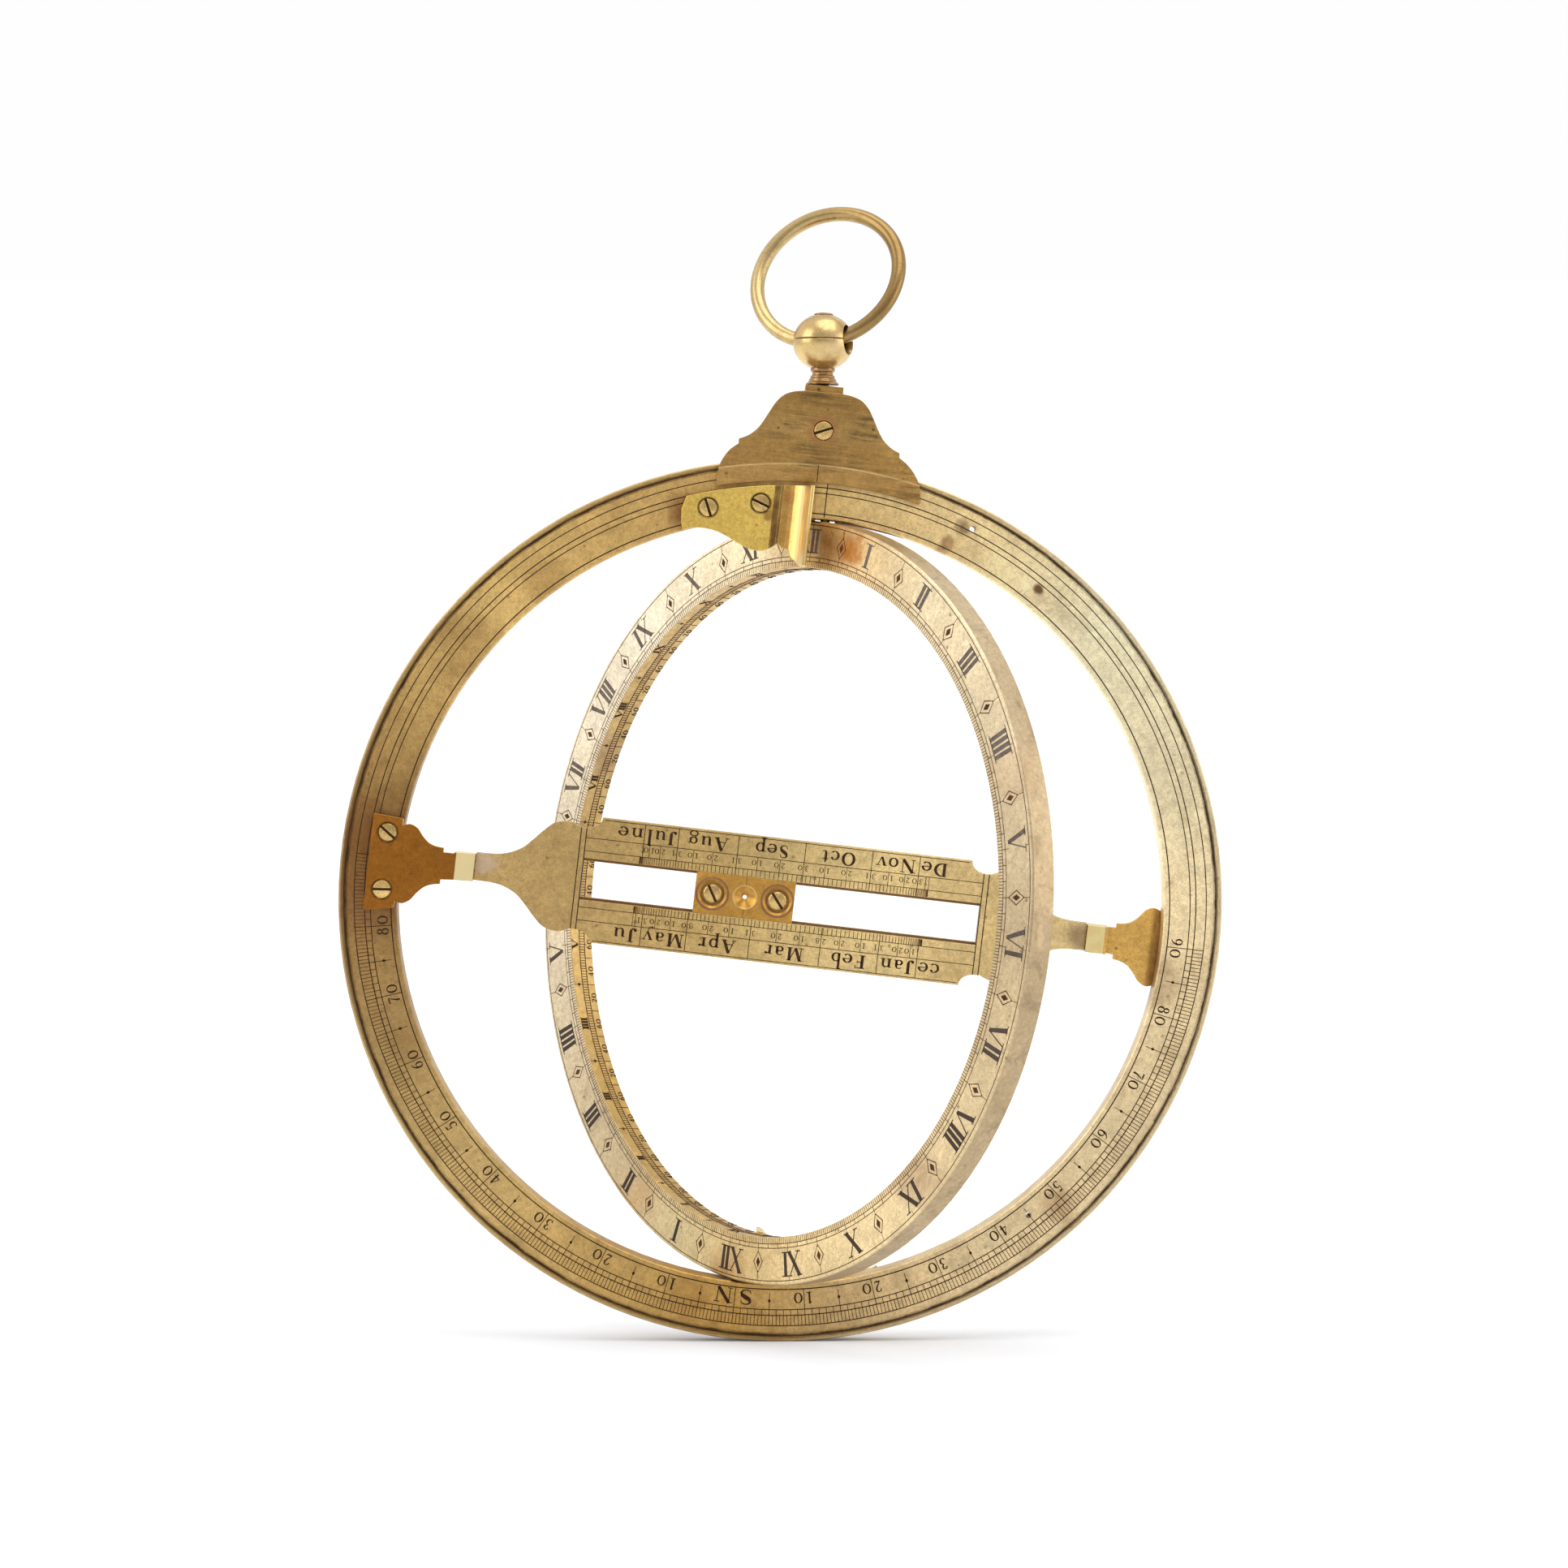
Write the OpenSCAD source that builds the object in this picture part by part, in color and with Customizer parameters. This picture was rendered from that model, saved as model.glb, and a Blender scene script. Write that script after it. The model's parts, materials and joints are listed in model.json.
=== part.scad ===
// Universal equinoctial ring dial: a hinged hour ring and a turning bridge
// inside a graduated meridian ring, hung from a sliding ball-and-ring carriage.
// Origin: centre of the meridian ring. Ring plane = XZ, front face towards -Y,
// +Z along the hour ring's hinge axis, bridge axis along X. Millimetres.

/* [Meridian ring] */
// Outer radius of the meridian ring
mer_ro = 114.5; // [110:0.5:118]
// Inner radius of the meridian ring
mer_ri = 99.5; // [99.4:0.1:101]
// Thickness of the meridian ring
mer_t = 7.6; // [7.4:0.1:8.4]
// Radius of each through hole for an altitude pin
pin_hole_r = 0.8; // [0.5:0.05:1.2]

/* [Hour ring] */
// Outer radius of the hour ring
hour_ro = 99.0; // [96:0.5:99]
// Inner radius of the hour ring
hour_ri = 86.8; // [86.2:0.1:88]
// Thickness of the hour ring
hour_t = 7.2; // [6:0.1:7.2]
// Angle at which the hour ring stands open
hour_open = 51.5; // [0:0.1:90]

/* [Bridge] */
// Half width of the bridge plate
br_hw = 16.3; // [15:0.1:17]
// Half length of the bridge plate between its end strips
br_hl = 51.7; // [50:0.1:53]
// Thickness of the bridge
br_t = 3.2; // [2.8:0.1:3.6]
// Half width of the slot
slot_hw = 4.75; // [4.2:0.05:5]
// Distance of the cursor from the middle of the bridge
cursor_x = -9.4; // [-38:0.1:38]

/* [Suspension] */
// Angle of the carriage to the left of the top
slider_angle = 1.5; // [0:0.1:10]
// Turn of the ball on its carriage
swivel_angle = 21; // [0:1:90]
// Lean of the worn swivel in its socket
swivel_lean = 4.2; // [0:0.1:5]
// Mean radius of the suspension ring
susp_r = 19.3; // [18:0.1:21]
// Radius of the suspension ring's wire
wire_r = 1.87; // [1.6:0.01:2]

/* [Hidden] */
$fn = 96;
mh = mer_t/2;
hh = hour_t/2;
bh = br_t/2;
plate_t = 2.0;          // thickness of the applied plates
lug_in = 79.95;         // inner end of a bracket lug
lug_out = 84.7;         // where the lug meets the plate
lug_dy = 3.1;           // reach of a lug past the axis
journal_r = 1.6;        // bridge journals
fin_x = 3.8;            // face of a stop's fin, beside the hinge axis
fin_y = 12;             // height of the fin from the middle plane
ball_c = 145.9;         // ball's seam above the ring's centre
tab_z = 133.7;          // top of the carriage block
cheek_y = 5.8;          // outer face of a cheek
hole_r = 3.5;           // cross hole in the ball
swivel_dx = -1.2;       // offset of the swivel on the carriage

// ---- curves -------------------------------------------------------------
// A smooth curve through the control points p, with n steps to a span.
function crp(a, b, c, d, t) = 0.5*((2*b) + (c-a)*t + (2*a-5*b+4*c-d)*t*t + (3*b-a-3*c+d)*t*t*t);
function smooth(p, n=5) = [for (i=[0:len(p)-2]) for (k=[0:(i==len(p)-2 ? n : n-1)])
  crp(p[max(i-1,0)], p[i], p[i+1], p[min(i+2,len(p)-1)], k/n)];
function flipx(p) = [for (i=[len(p)-1:-1:0]) [-p[i][0], p[i][1]]];
function flipz(p) = [for (i=[len(p)-1:-1:0]) [p[i][0], -p[i][1]]];

// Extrudes an outline drawn in XZ between two values of Y.
module slab(y0, y1) { translate([0, y1, 0]) rotate([90, 0, 0]) linear_extrude(y1 - y0) children(); }
// A cylinder along Y between two values of Y.
module ycyl(r, y0, y1, x=0, z=0) { translate([x, y1, z]) rotate([90, 0, 0]) cylinder(r=r, h=y1-y0); }
// A flat ring with small chamfers, its axis along Y.
module flat_ring(ro, ri, h, c=0.25, e=0.25) {
  rotate([90, 0, 0]) rotate_extrude($fn=180) polygon([[ri+e,-h],[ro-c,-h],[ro,-h+c],[ro,h-c],[ro-c,h],[ri+e,h],[ri,h-e],[ri,-h+e]]);
}
// A slotted cheese-head screw along -Y, its head's domed face at y = 0.
module slot_screw(head_r, head_h, shank_r, len, turn=0) {
  difference() {
    rotate([-90, 0, 0]) union() {
      rotate_extrude() polygon([[0,0],[head_r*0.55,0.1],[head_r*0.85,0.28],[head_r,0.5],[head_r,head_h],[0,head_h]]);
      translate([0,0,head_h]) cylinder(r=shank_r, h=len-head_h, $fn=48);
    }
    rotate([0, turn, 0]) translate([-head_r-1, -1, -0.34]) cube([2*head_r+2, 1.85, 0.68]);
  }
}

// ---- meridian ring ------------------------------------------------------
// Groove in both faces in which the carriage's cheeks run.
module track() {
  for (s=[-1,1]) scale([1,s,1]) rotate([90,0,0]) rotate_extrude($fn=180)
    polygon([[112.2,mh-0.6],[113.2,mh-0.6],[113.2,mh+1],[112.2,mh+1]]);
}
// Screw holes for the applied plates, blind from the face on side s.
module plate_holes(pts, s) { for (p=pts) if (s < 0) ycyl(1.25, -mh-1, -mh+4.6, p[0], p[1]); else ycyl(1.25, mh-4.6, mh+1, p[0], p[1]); }
br_scr = [[-102.95, 6.4], [-102.85, -8.4]];
st_scr = [[-30.45, 99.1], [-17.1, 101.8]];
function neg(p) = [for (q=p) [-q[0], q[1]]];
function inv(p) = [for (q=p) [-q[0], -q[1]]];
module meridian_ring() color([0.72,0.60,0.39]) difference() {
  flat_ring(mer_ro, mer_ri, mh, 0.3, 0.3);
  track();
  for (s=[-1,1]) scale([1,1,s]) translate([0,0,mer_ri-1]) cylinder(r=1.63, h=mer_ro-mer_ri+2, $fn=48);
  plate_holes(br_scr, -1);
  plate_holes(neg(br_scr), 1);
  plate_holes(st_scr, -1);
  plate_holes(inv(st_scr), 1);
  for (p=[[38.1,101.6],[73.4,-73.6]]) ycyl(pin_hole_r, -mh-1, mh+1, p[0], p[1]);
}
module pivot_pin() difference() {
  union() {
    translate([0,0,mer_ri+0.2]) cylinder(r=1.6, h=14.2, $fn=48);
    translate([0,0,95.6]) cylinder(r=1.2, h=5, $fn=48);
  }
  translate([-3,-0.3,113.0]) cube([6,0.6,3]);
}
module hour_ring_pivot_top() color([0.66,0.54,0.33]) pivot_pin();
module hour_ring_pivot_bottom() color([0.66,0.54,0.33]) scale([1,1,-1]) pivot_pin();

// ---- bridge brackets ----------------------------------------------------
// Upper half of the outline, as [x, half height] from the rim inwards.
br_curve = smooth([[-99.2,10.0],[-97.3,10.5],[-95.3,9.5],[-93.9,7.7],[-92.1,6.0],[-90.2,5.2],[-88.1,4.9]]);
function br_mid(x) = -0.25 - 0.055*max(0, -x-85);
br_half = concat([[-107.0,12.8],[-99.3,11.8]], br_curve, [[-88.1,3.75],[-lug_out,3.6]]);
br_out = concat([for (p=br_half) [p[0], br_mid(p[0])+p[1]-0.42]],
                [for (i=[len(br_half)-1:-1:0]) [br_half[i][0], br_mid(br_half[i][0])-br_half[i][1]]]);
// The plate on the face, its lug round the bridge axis, holes for two screws.
module bracket_body(bevel) difference() {
  union() {
    slab(-mh-plate_t, -mh) polygon(br_out);
    difference() {
      translate([-lug_out-0.6, -mh-plate_t, -3.85]) cube([lug_out+0.6-lug_in, mh+plate_t+lug_dy, 7.05]);
      // the lug falls away towards the bridge
      if (bevel) translate([-lug_out, -mh-plate_t, -5]) rotate([0,0,30]) translate([0,-6,0]) cube([9,6,10]);
    }
  }
  translate([-lug_out+0.3, 0, 0]) rotate([0,90,0]) cylinder(r=journal_r+0.06, h=6);
  if (!bevel) for (s=[-1,1]) translate([-90, lug_dy, s*1.4-0.65]) rotate([s*-45,0,0]) translate([0,0,s > 0 ? 0 : -6]) cube([12,6,6]);
  for (p=br_scr) { ycyl(1.2, -mh-3, -mh+1, p[0], p[1]); ycyl(2.55, -mh-3, -mh-plate_t+1.1, p[0], p[1]); }
}
module bridge_bracket_left() color([0.60,0.39,0.14]) bracket_body(true);
module bridge_bracket_right() color([0.80,0.64,0.36]) scale([-1,-1,1]) bracket_body(false);
module bracket_screws(t) for (i=[0,1]) translate([br_scr[i][0], -mh-plate_t-0.15, br_scr[i][1]]) slot_screw(2.46, 1.2, 1.15, 6.2, t[i]);
module bridge_bracket_left_screws() color([0.68,0.52,0.27]) bracket_screws([35, -5]);
module bridge_bracket_right_screws() color([0.68,0.52,0.27]) scale([-1,-1,1]) bracket_screws([20, 70]);

// ---- stops --------------------------------------------------------------
// Lower edge of a stop: an ogee from the plate's end to the foot of the fin.
stop_low = concat(
  smooth([[-36.2,92.3],[-34.5,93.4],[-31.0,93.75],[-27.6,93.3],[-24.3,92.1],[-21.0,90.6],[-18.0,89.65],[-15.2,89.75],[-13.0,90.9],[-11.9,91.9]]),
  smooth([[-10.2,91.1],[-8.7,90.6],[-8.0,89.0],[-6.6,87.9],[-5.5,87.0]]), [[-fin_x,86.9]]);
stop_top = [for (i=[0:8]) let(a=-1.8-17.9*i/8) [107.7*sin(a), 107.7*cos(a)]];
stop_sec = concat([[-40,-mh],[-40,-mh-plate_t],[-13.4,-mh-plate_t],[-13.4,-mh-plate_t+0.45],[-12.3,-mh-plate_t+0.45],[-12.3,-mh-plate_t]],
  [for (i=[1:10]) let(a=9*i) [-12.1+7.3*sin(a), -mh-plate_t-6.5*(1-cos(a))]],
  [[-4.6,-fin_y],[-fin_x-0.3,-fin_y],[-fin_x,-fin_y+0.3],[-fin_x,-mh]]);
module stop_body() difference() {
  intersection() {
    slab(-20, 0) polygon(concat([[-37.2,98.0],[-36.9,94.5]], stop_low, [[-fin_x,107.64]], stop_top));
    translate([0,0,80]) linear_extrude(32) polygon(stop_sec);
  }
  for (p=st_scr) { ycyl(1.2, -mh-3, -mh+1, p[0], p[1]); ycyl(2.55, -mh-3, -mh-plate_t+1.1, p[0], p[1]); }
}
module front_stop() color([0.83,0.68,0.33]) stop_body();
module rear_stop() color([0.80,0.65,0.35]) scale([-1,-1,-1]) stop_body();
module stop_screws(t) for (i=[0,1]) translate([st_scr[i][0], -mh-plate_t-0.15, st_scr[i][1]]) slot_screw(2.46, 1.2, 1.15, 6.2, t[i]);
module front_stop_screws() color([0.68,0.52,0.27]) stop_screws([66, 19]);
module rear_stop_screws() color([0.68,0.52,0.27]) scale([-1,-1,-1]) stop_screws([10, 55]);

// ---- hour ring ----------------------------------------------------------
module hour_ring() color([0.84,0.75,0.58]) rotate([0,0,-hour_open]) difference() {
  flat_ring(hour_ro, hour_ri, hh, 0.35, 0.12);
  for (s=[-1,1]) scale([1,1,s]) translate([0,0,95.2]) cylinder(r=1.26, h=6, $fn=48);
}

// ---- bridge -------------------------------------------------------------
// Half outline of an end, from the plate's corner out to the neck.
br_end = concat([for (i=[0:6]) let(a=15*i) [br_hl+0.5-3.9*cos(a)+0.0, br_hw-3.1*sin(a)]],
  [[br_hl+1.75,br_hw-3.1]],
  smooth([[br_hl+1.75,13.1],[56.2,14.2],[58.6,14.15],[61.0,13.3],[63.4,11.1],[65.6,8.7],[68.3,6.1],[71.6,4.4],[75.0,3.7],[79.8,3.55]]));
br_quad = concat([[0,br_hw]], br_end);
module bridge_outline() polygon(concat(flipx(br_quad), br_quad, flipz(br_quad), flipx(flipz(br_quad))));
module bridge() color([0.70,0.58,0.39]) difference() {
  union() {
    slab(-bh, bh) bridge_outline();
    for (s=[-1,1]) scale([s,1,1]) translate([79.0,0,0]) rotate([0,90,0]) cylinder(r=journal_r, h=4.4);
  }
  translate([-52,-5,-slot_hw]) cube([103.6,10,2*slot_hw]);
  // shallow rebates for the cursor's plates, front and back
  translate([-52,-bh-1,-slot_hw-0.7]) cube([103.6,2,2*slot_hw+1.4]);
  translate([-52,bh-1,-slot_hw-0.7]) cube([103.6,2,2*slot_hw+1.4]);
  // two fine lines across each end strip
  for (x=[-53.5,-52.1,51.7,53.1]) translate([x-0.09,-bh-0.2,-13.2]) cube([0.18,0.3,26.4]);
}

// ---- cursor -------------------------------------------------------------
cur_scr = [-8.5, 8.5];
module at_cursor() translate([cursor_x,0,0]) children();
module cursor_front_plate() color([0.66,0.49,0.23]) at_cursor() difference() {
  union() {
    translate([-13.1,-bh,-slot_hw-0.62]) cube([25.95,0.92,2*slot_hw+1.24]);
    translate([-13.1,-bh+0.5,-slot_hw+0.06]) cube([25.95,2*bh-0.5-1.0,2*slot_hw-0.12]);
  }
  // dished seats round the screws, sunk heads, and the sighting cup
  for (x=cur_scr) {
    translate([x,-bh+0.55,0]) rotate([90,0,0]) rotate_extrude() polygon([[0,0],[3.2,0],[3.8,0.55],[3.8,1.6],[0,1.6]]);
    ycyl(2.5, -bh-1, -bh+1.3, x);
    ycyl(1.2, -bh-1, bh+1, x);
  }
  translate([0,-bh+1.5,0]) rotate([90,0,0]) rotate_extrude() polygon([[0,0],[0.6,0],[3.05,1.5],[3.05,2.5],[0,2.5]]);
  ycyl(0.55, -bh-1, bh+1);
  for (s=[-1,1]) translate([-0.09,-bh-0.3,s*4.3-1.1]) cube([0.18,0.5,2.2]);
}
module cursor_back_plate() color([0.66,0.49,0.23]) at_cursor() difference() {
  translate([-13.1,bh-0.95,-slot_hw-0.62]) cube([25.95,0.95,2*slot_hw+1.24]);
  for (x=cur_scr) ycyl(1.2, -bh-1, bh+1, x);
  ycyl(1.6, -bh-1, bh+1);
}
module cursor_screws() color([0.68,0.52,0.27]) at_cursor()
  for (i=[0,1]) translate([cur_scr[i],-bh+0.1,0]) slot_screw(2.42, 1.15, 1.15, 2*bh-0.15, [60,52][i]);

// ---- carriage -----------------------------------------------------------
module at_slider() rotate([0,-slider_angle,0]) children();
cheek_half = concat([[4.95,132.0]],
  smooth([[4.95,132.0],[7.6,131.6],[10.0,130.6],[12.0,128.6],[13.6,125.8],[15.1,123.0],[16.5,121.0],[18.5,119.3],[20.8,118.2]]),
  smooth([[20.8,117.0],[22.9,115.4],[24.6,113.3],[25.8,110.9],[26.3,108.2],[26.3,105.7]]));
// Lower edge on a circle about the ring's centre, clear of the fittings on its face.
cheek_low = [for (i=[0:16]) let(a=13.97-27.94*i/16) [108.85*sin(a), 108.85*cos(a)]];
// The upper part of the carriage stands a little to the left of its foot.
cheek_dx = -0.75;
function lean(p) = [p[0]+cheek_dx*min(1,max(0,(p[1]-109.5)/8)), p[1]];
module cheek_outline() polygon([for (p=concat(flipx(cheek_half), cheek_half, cheek_low)) lean(p)]);
module cheek_body() difference() {
  union() {
    slab(-cheek_y, -mh-0.08) cheek_outline();
    // rib that runs in the groove of the meridian ring
    intersection() {
      rotate([90,0,0]) rotate_extrude($fn=180) polygon([[112.3,mh-0.5],[113.1,mh-0.5],[113.1,mh+0.5],[112.3,mh+0.5]]);
      translate([-20,-10,100]) cube([40,10,20]);
    }
  }
  // bevelled band along the lower edge
  rotate([90,0,0]) rotate_extrude($fn=180) polygon([[100,cheek_y-1.5],[108.85,cheek_y-1.1],[113.3,cheek_y],[113.3,cheek_y+2],[100,cheek_y+2]]);
  ycyl(1.3, -10, 0, 0, 122.2);
  ycyl(2.62, -10, -cheek_y+1.0, 0, 122.2);
}
module slider_front_cheek() color([0.59,0.46,0.25]) at_slider() difference() {
  cheek_body();
  translate([-0.6,-cheek_y-0.05,108.6]) rotate([-13.5,0,0]) translate([0,-0.2,0]) cube([0.18,0.4,4.9]);
}
module slider_rear_cheek() color([0.59,0.46,0.25]) at_slider() scale([1,-1,1]) cheek_body();
module slider_spacer() color([0.57,0.45,0.25]) difference() {
  at_slider() union() {
    slab(-mh-0.06, mh+0.06) difference() { cheek_outline(); circle(r=mer_ro+0.12, $fn=360); }
    translate([-4.9+cheek_dx,-cheek_y,132.02]) cube([9.8,2*cheek_y,tab_z-132.02]);
    translate([-4.9+cheek_dx,-mh-0.06,131]) cube([9.8,2*mh+0.12,2]);
  }
  // socket of the swivel: a plain bore over a wider pocket for its collar
  at_stem() translate([0,0,-17.4]) cylinder(r=1.75, h=8, $fn=48);
  at_stem() translate([0,0,-19.7]) cylinder(r=2.75, h=2.5, $fn=48);
  at_slider() ycyl(1.3, -10, 10, 0, 122.2);
}
module slider_screw() color([0.68,0.52,0.27]) at_slider()
  translate([0,-cheek_y-0.2,122.2]) slot_screw(2.55, 1.15, 1.25, 10.6, -22);

// ---- swivel, ball and ring ----------------------------------------------
// The swivel leans a little to the left and sits left of the carriage's middle.
module at_stem() at_slider() translate([swivel_dx,0,tab_z]) rotate([0,-swivel_lean,0]) translate([0,0,ball_c-tab_z]) children();
module at_swivel() at_stem() rotate([0,0,-swivel_angle]) children();
// Profile of the ball, an ellipse slightly below the seam.
function ball_pt(z) = [7.9*sqrt(max(0,1-pow((z+0.6)/7.35,2))), z];
module swivel_neck() color([0.78,0.60,0.32]) at_swivel() rotate_extrude(convexity=6) polygon(concat(
  [[0,-19.6],[2.68,-19.6],[2.68,-17.55],[1.68,-17.55],[1.68,-11.75]],
  [[4.0,-11.75],[4.28,-11.55],[4.24,-11.25]],
  smooth([[4.24,-11.25],[3.75,-10.85],[3.45,-10.2],[3.35,-10.0]],4),
  smooth([[3.1,-9.95],[3.22,-9.6],[3.1,-9.3]],4),
  smooth([[2.85,-9.2],[2.68,-8.75],[2.85,-8.35]],4),
  smooth([[3.1,-8.2],[3.2,-7.85],[3.15,-7.4]],4),
  [[0,-7.4]]));
module cross_hole() {
  translate([-12,0,0]) rotate([0,90,0]) cylinder(r=hole_r, h=24);
  for (s=[-1,1]) scale([s,1,1]) translate([5.4,0,0]) rotate([0,90,0]) cylinder(r1=hole_r, r2=hole_r+0.9, h=3.3);
}
module ball_lower() color([0.86,0.75,0.51]) at_swivel() difference() {
  rotate_extrude() polygon(concat([[0,-7.38],[3.15,-7.38]], [for (i=[0:14]) ball_pt(-7.25+7.05*i/14)], [[7.72,-0.09],[0,-0.09]]));
  cross_hole();
}
module ball_upper() color([0.86,0.75,0.51]) at_swivel() difference() {
  rotate_extrude() polygon(concat([[0,0.09],[7.72,0.09]], [for (i=[0:12]) ball_pt(0.2+6.1*i/12)], [[0,6.3]]));
  cross_hole();
  translate([0,0,4]) cylinder(r=1.5, h=5, $fn=48);
}
module ball_rivet() color([0.72,0.57,0.33]) at_swivel() union() {
  rotate_extrude() polygon([[0,6.33],[2.55,6.33],[2.5,6.62],[2.1,6.85],[1.2,6.98],[0,7.0]]);
  translate([0,0,4.1]) cylinder(r=1.48, h=2.4, $fn=48);
}
susp_lean = 25.5;      // lean of the ring behind the ball
susp_tip = 5.8;     // play of the ring in the cross hole
module suspension_ring() color([0.90,0.83,0.67]) at_swivel()
  rotate([susp_lean*-1,0,0]) translate([0,0,-0.45]) rotate([0,-susp_tip,0]) translate([0,0,susp_r])
    rotate([90,0,0]) rotate_extrude($fn=120) translate([susp_r,0]) circle(r=wire_r, $fn=40);

meridian_ring();
hour_ring_pivot_top();
hour_ring_pivot_bottom();
bridge_bracket_left();
bridge_bracket_left_screws();
bridge_bracket_right();
bridge_bracket_right_screws();
front_stop();
front_stop_screws();
rear_stop();
rear_stop_screws();
hour_ring();
bridge();
cursor_front_plate();
cursor_back_plate();
cursor_screws();
slider_front_cheek();
slider_rear_cheek();
slider_spacer();
slider_screw();
swivel_neck();
ball_lower();
ball_upper();
ball_rivet();
suspension_ring();
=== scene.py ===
import json
import math
import random
import bpy
from mathutils import Matrix, Vector


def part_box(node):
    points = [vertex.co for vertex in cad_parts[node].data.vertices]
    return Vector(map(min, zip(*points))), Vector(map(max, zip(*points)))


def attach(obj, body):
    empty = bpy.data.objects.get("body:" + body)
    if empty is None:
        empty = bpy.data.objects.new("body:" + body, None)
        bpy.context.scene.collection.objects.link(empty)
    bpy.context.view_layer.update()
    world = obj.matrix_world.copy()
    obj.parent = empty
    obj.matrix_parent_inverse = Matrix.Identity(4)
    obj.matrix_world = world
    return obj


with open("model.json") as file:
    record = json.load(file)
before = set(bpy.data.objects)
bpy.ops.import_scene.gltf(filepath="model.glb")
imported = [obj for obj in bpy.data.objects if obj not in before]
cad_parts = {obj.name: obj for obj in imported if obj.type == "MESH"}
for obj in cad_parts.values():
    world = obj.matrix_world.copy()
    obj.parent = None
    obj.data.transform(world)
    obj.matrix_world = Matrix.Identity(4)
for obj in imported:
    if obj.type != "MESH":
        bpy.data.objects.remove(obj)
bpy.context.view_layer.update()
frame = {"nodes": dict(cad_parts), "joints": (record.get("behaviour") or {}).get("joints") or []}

random.seed(7)
MM = 0.001
SIN, COS, RAD = math.sin, math.cos, math.radians

# ---------------------------------------------------------------- frame sizes
mer_lo, mer_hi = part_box("meridian_ring")
MER_RO = mer_hi[0] / MM
MER_Y = mer_hi[1] / MM
hr_lo, hr_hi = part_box("hour_ring")
HOUR_RO = hr_hi[2] / MM
HOUR_RI = HOUR_RO - 12.2
HOUR_H = 3.6
br_lo, br_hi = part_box("bridge")
BR_Y = br_hi[1] / MM
OPEN = 51.5
for j in frame["joints"]:
    if j.get("name") == "hour_ring_hinge":
        OPEN = -j["range_deg"][0]


# ---------------------------------------------------------------- mesh makers
class Ink:
    """Closed thin inlays: the dark filling of engraved lines and figures."""

    def __init__(self, proud=0.012, deep=0.05):
        self.v, self.f, self.proud, self.deep = [], [], proud, deep

    def ribbon(self, pts, to3, closed=False):
        """pts: (x, y, width) along a stroke, in the surface's own millimetres."""
        n = len(pts)
        base = len(self.v)
        for i, (x, y, w) in enumerate(pts):
            if closed:
                x0, y0, _ = pts[i - 1]
                x1, y1, _ = pts[(i + 1) % n]
            else:
                x0, y0, _ = pts[max(i - 1, 0)]
                x1, y1, _ = pts[min(i + 1, n - 1)]
            dx, dy = x1 - x0, y1 - y0
            d = math.hypot(dx, dy) or 1.0
            nx, ny = -dy / d * w / 2, dx / d * w / 2
            for sx in (1, -1):
                for h in (self.proud, -self.deep):
                    self.v.append(to3(x + sx * nx, y + sx * ny, h))
        last = n if closed else n - 1
        for i in range(last):
            a, b = base + 4 * i, base + 4 * ((i + 1) % n)
            self.f += [(a, a + 2, b + 2, b), (a + 1, b + 1, b + 3, a + 3),
                       (a, b, b + 1, a + 1), (a + 2, a + 3, b + 3, b + 2)]
        if not closed:
            a, b = base, base + 4 * (n - 1)
            self.f += [(a, a + 1, a + 3, a + 2), (b, b + 2, b + 3, b + 1)]

    def poly(self, pts, to3):
        """A filled convex outline."""
        base, n = len(self.v), len(pts)
        for x, y in pts:
            self.v.append(to3(x, y, self.proud))
        for x, y in pts:
            self.v.append(to3(x, y, -self.deep))
        self.f.append(tuple(range(base, base + n)))
        self.f.append(tuple(range(base + 2 * n - 1, base + n - 1, -1)))
        for i in range(n):
            k = (i + 1) % n
            self.f.append((base + i, base + n + i, base + n + k, base + k))

    def make(self, name, body, mat):
        me = bpy.data.meshes.new(name)
        me.from_pydata([(x * MM, y * MM, z * MM) for x, y, z in self.v], [], self.f)
        me.validate()
        ob = bpy.data.objects.new(name, me)
        bpy.context.scene.collection.objects.link(ob)
        import bmesh
        bm = bmesh.new()
        bm.from_mesh(me)
        bmesh.ops.recalc_face_normals(bm, faces=bm.faces)
        bm.to_mesh(me)
        bm.free()
        ob.data.materials.append(mat)
        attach(ob, body)
        return ob


# ---------------------------------------------------------------- letter forms
T, H = 0.17, 0.05   # thick and hair strokes, cap height = 1


def ell(cx, cy, rx, ry, a0, a1, thick=T, hair=H, n=20, p=1.3):
    """An elliptic stroke, thick at its sides. Angles in degrees, 0 = right."""
    out = []
    for i in range(n + 1):
        a = RAD(a0 + (a1 - a0) * i / n)
        out.append((cx + rx * COS(a), cy + ry * SIN(a), hair + (thick - hair) * abs(COS(a)) ** p))
    return out


def line(x0, y0, x1, y1, w0=T, w1=None):
    return [(x0, y0, w0), (x1, y1, w0 if w1 is None else w1)]


def serif(x, y, half=0.17, w=0.045):
    return [(x - half, y, w), (x + half, y, w)]


def stem(x, y0, y1, w=T, s0=0.17, s1=0.17):
    out = [line(x, y0, x, y1, w)]
    if s0:
        out.append(serif(x, y0 + 0.022, s0))
    if s1:
        out.append(serif(x, y1 - 0.022, s1))
    return out


def blob(x, y, r=0.085):
    return [(x - r, y, r * 0.9), (x - r * 0.5, y, r * 1.75), (x, y, r * 2.1), (x + r * 0.5, y, r * 1.75), (x + r, y, r * 0.9)]


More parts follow.
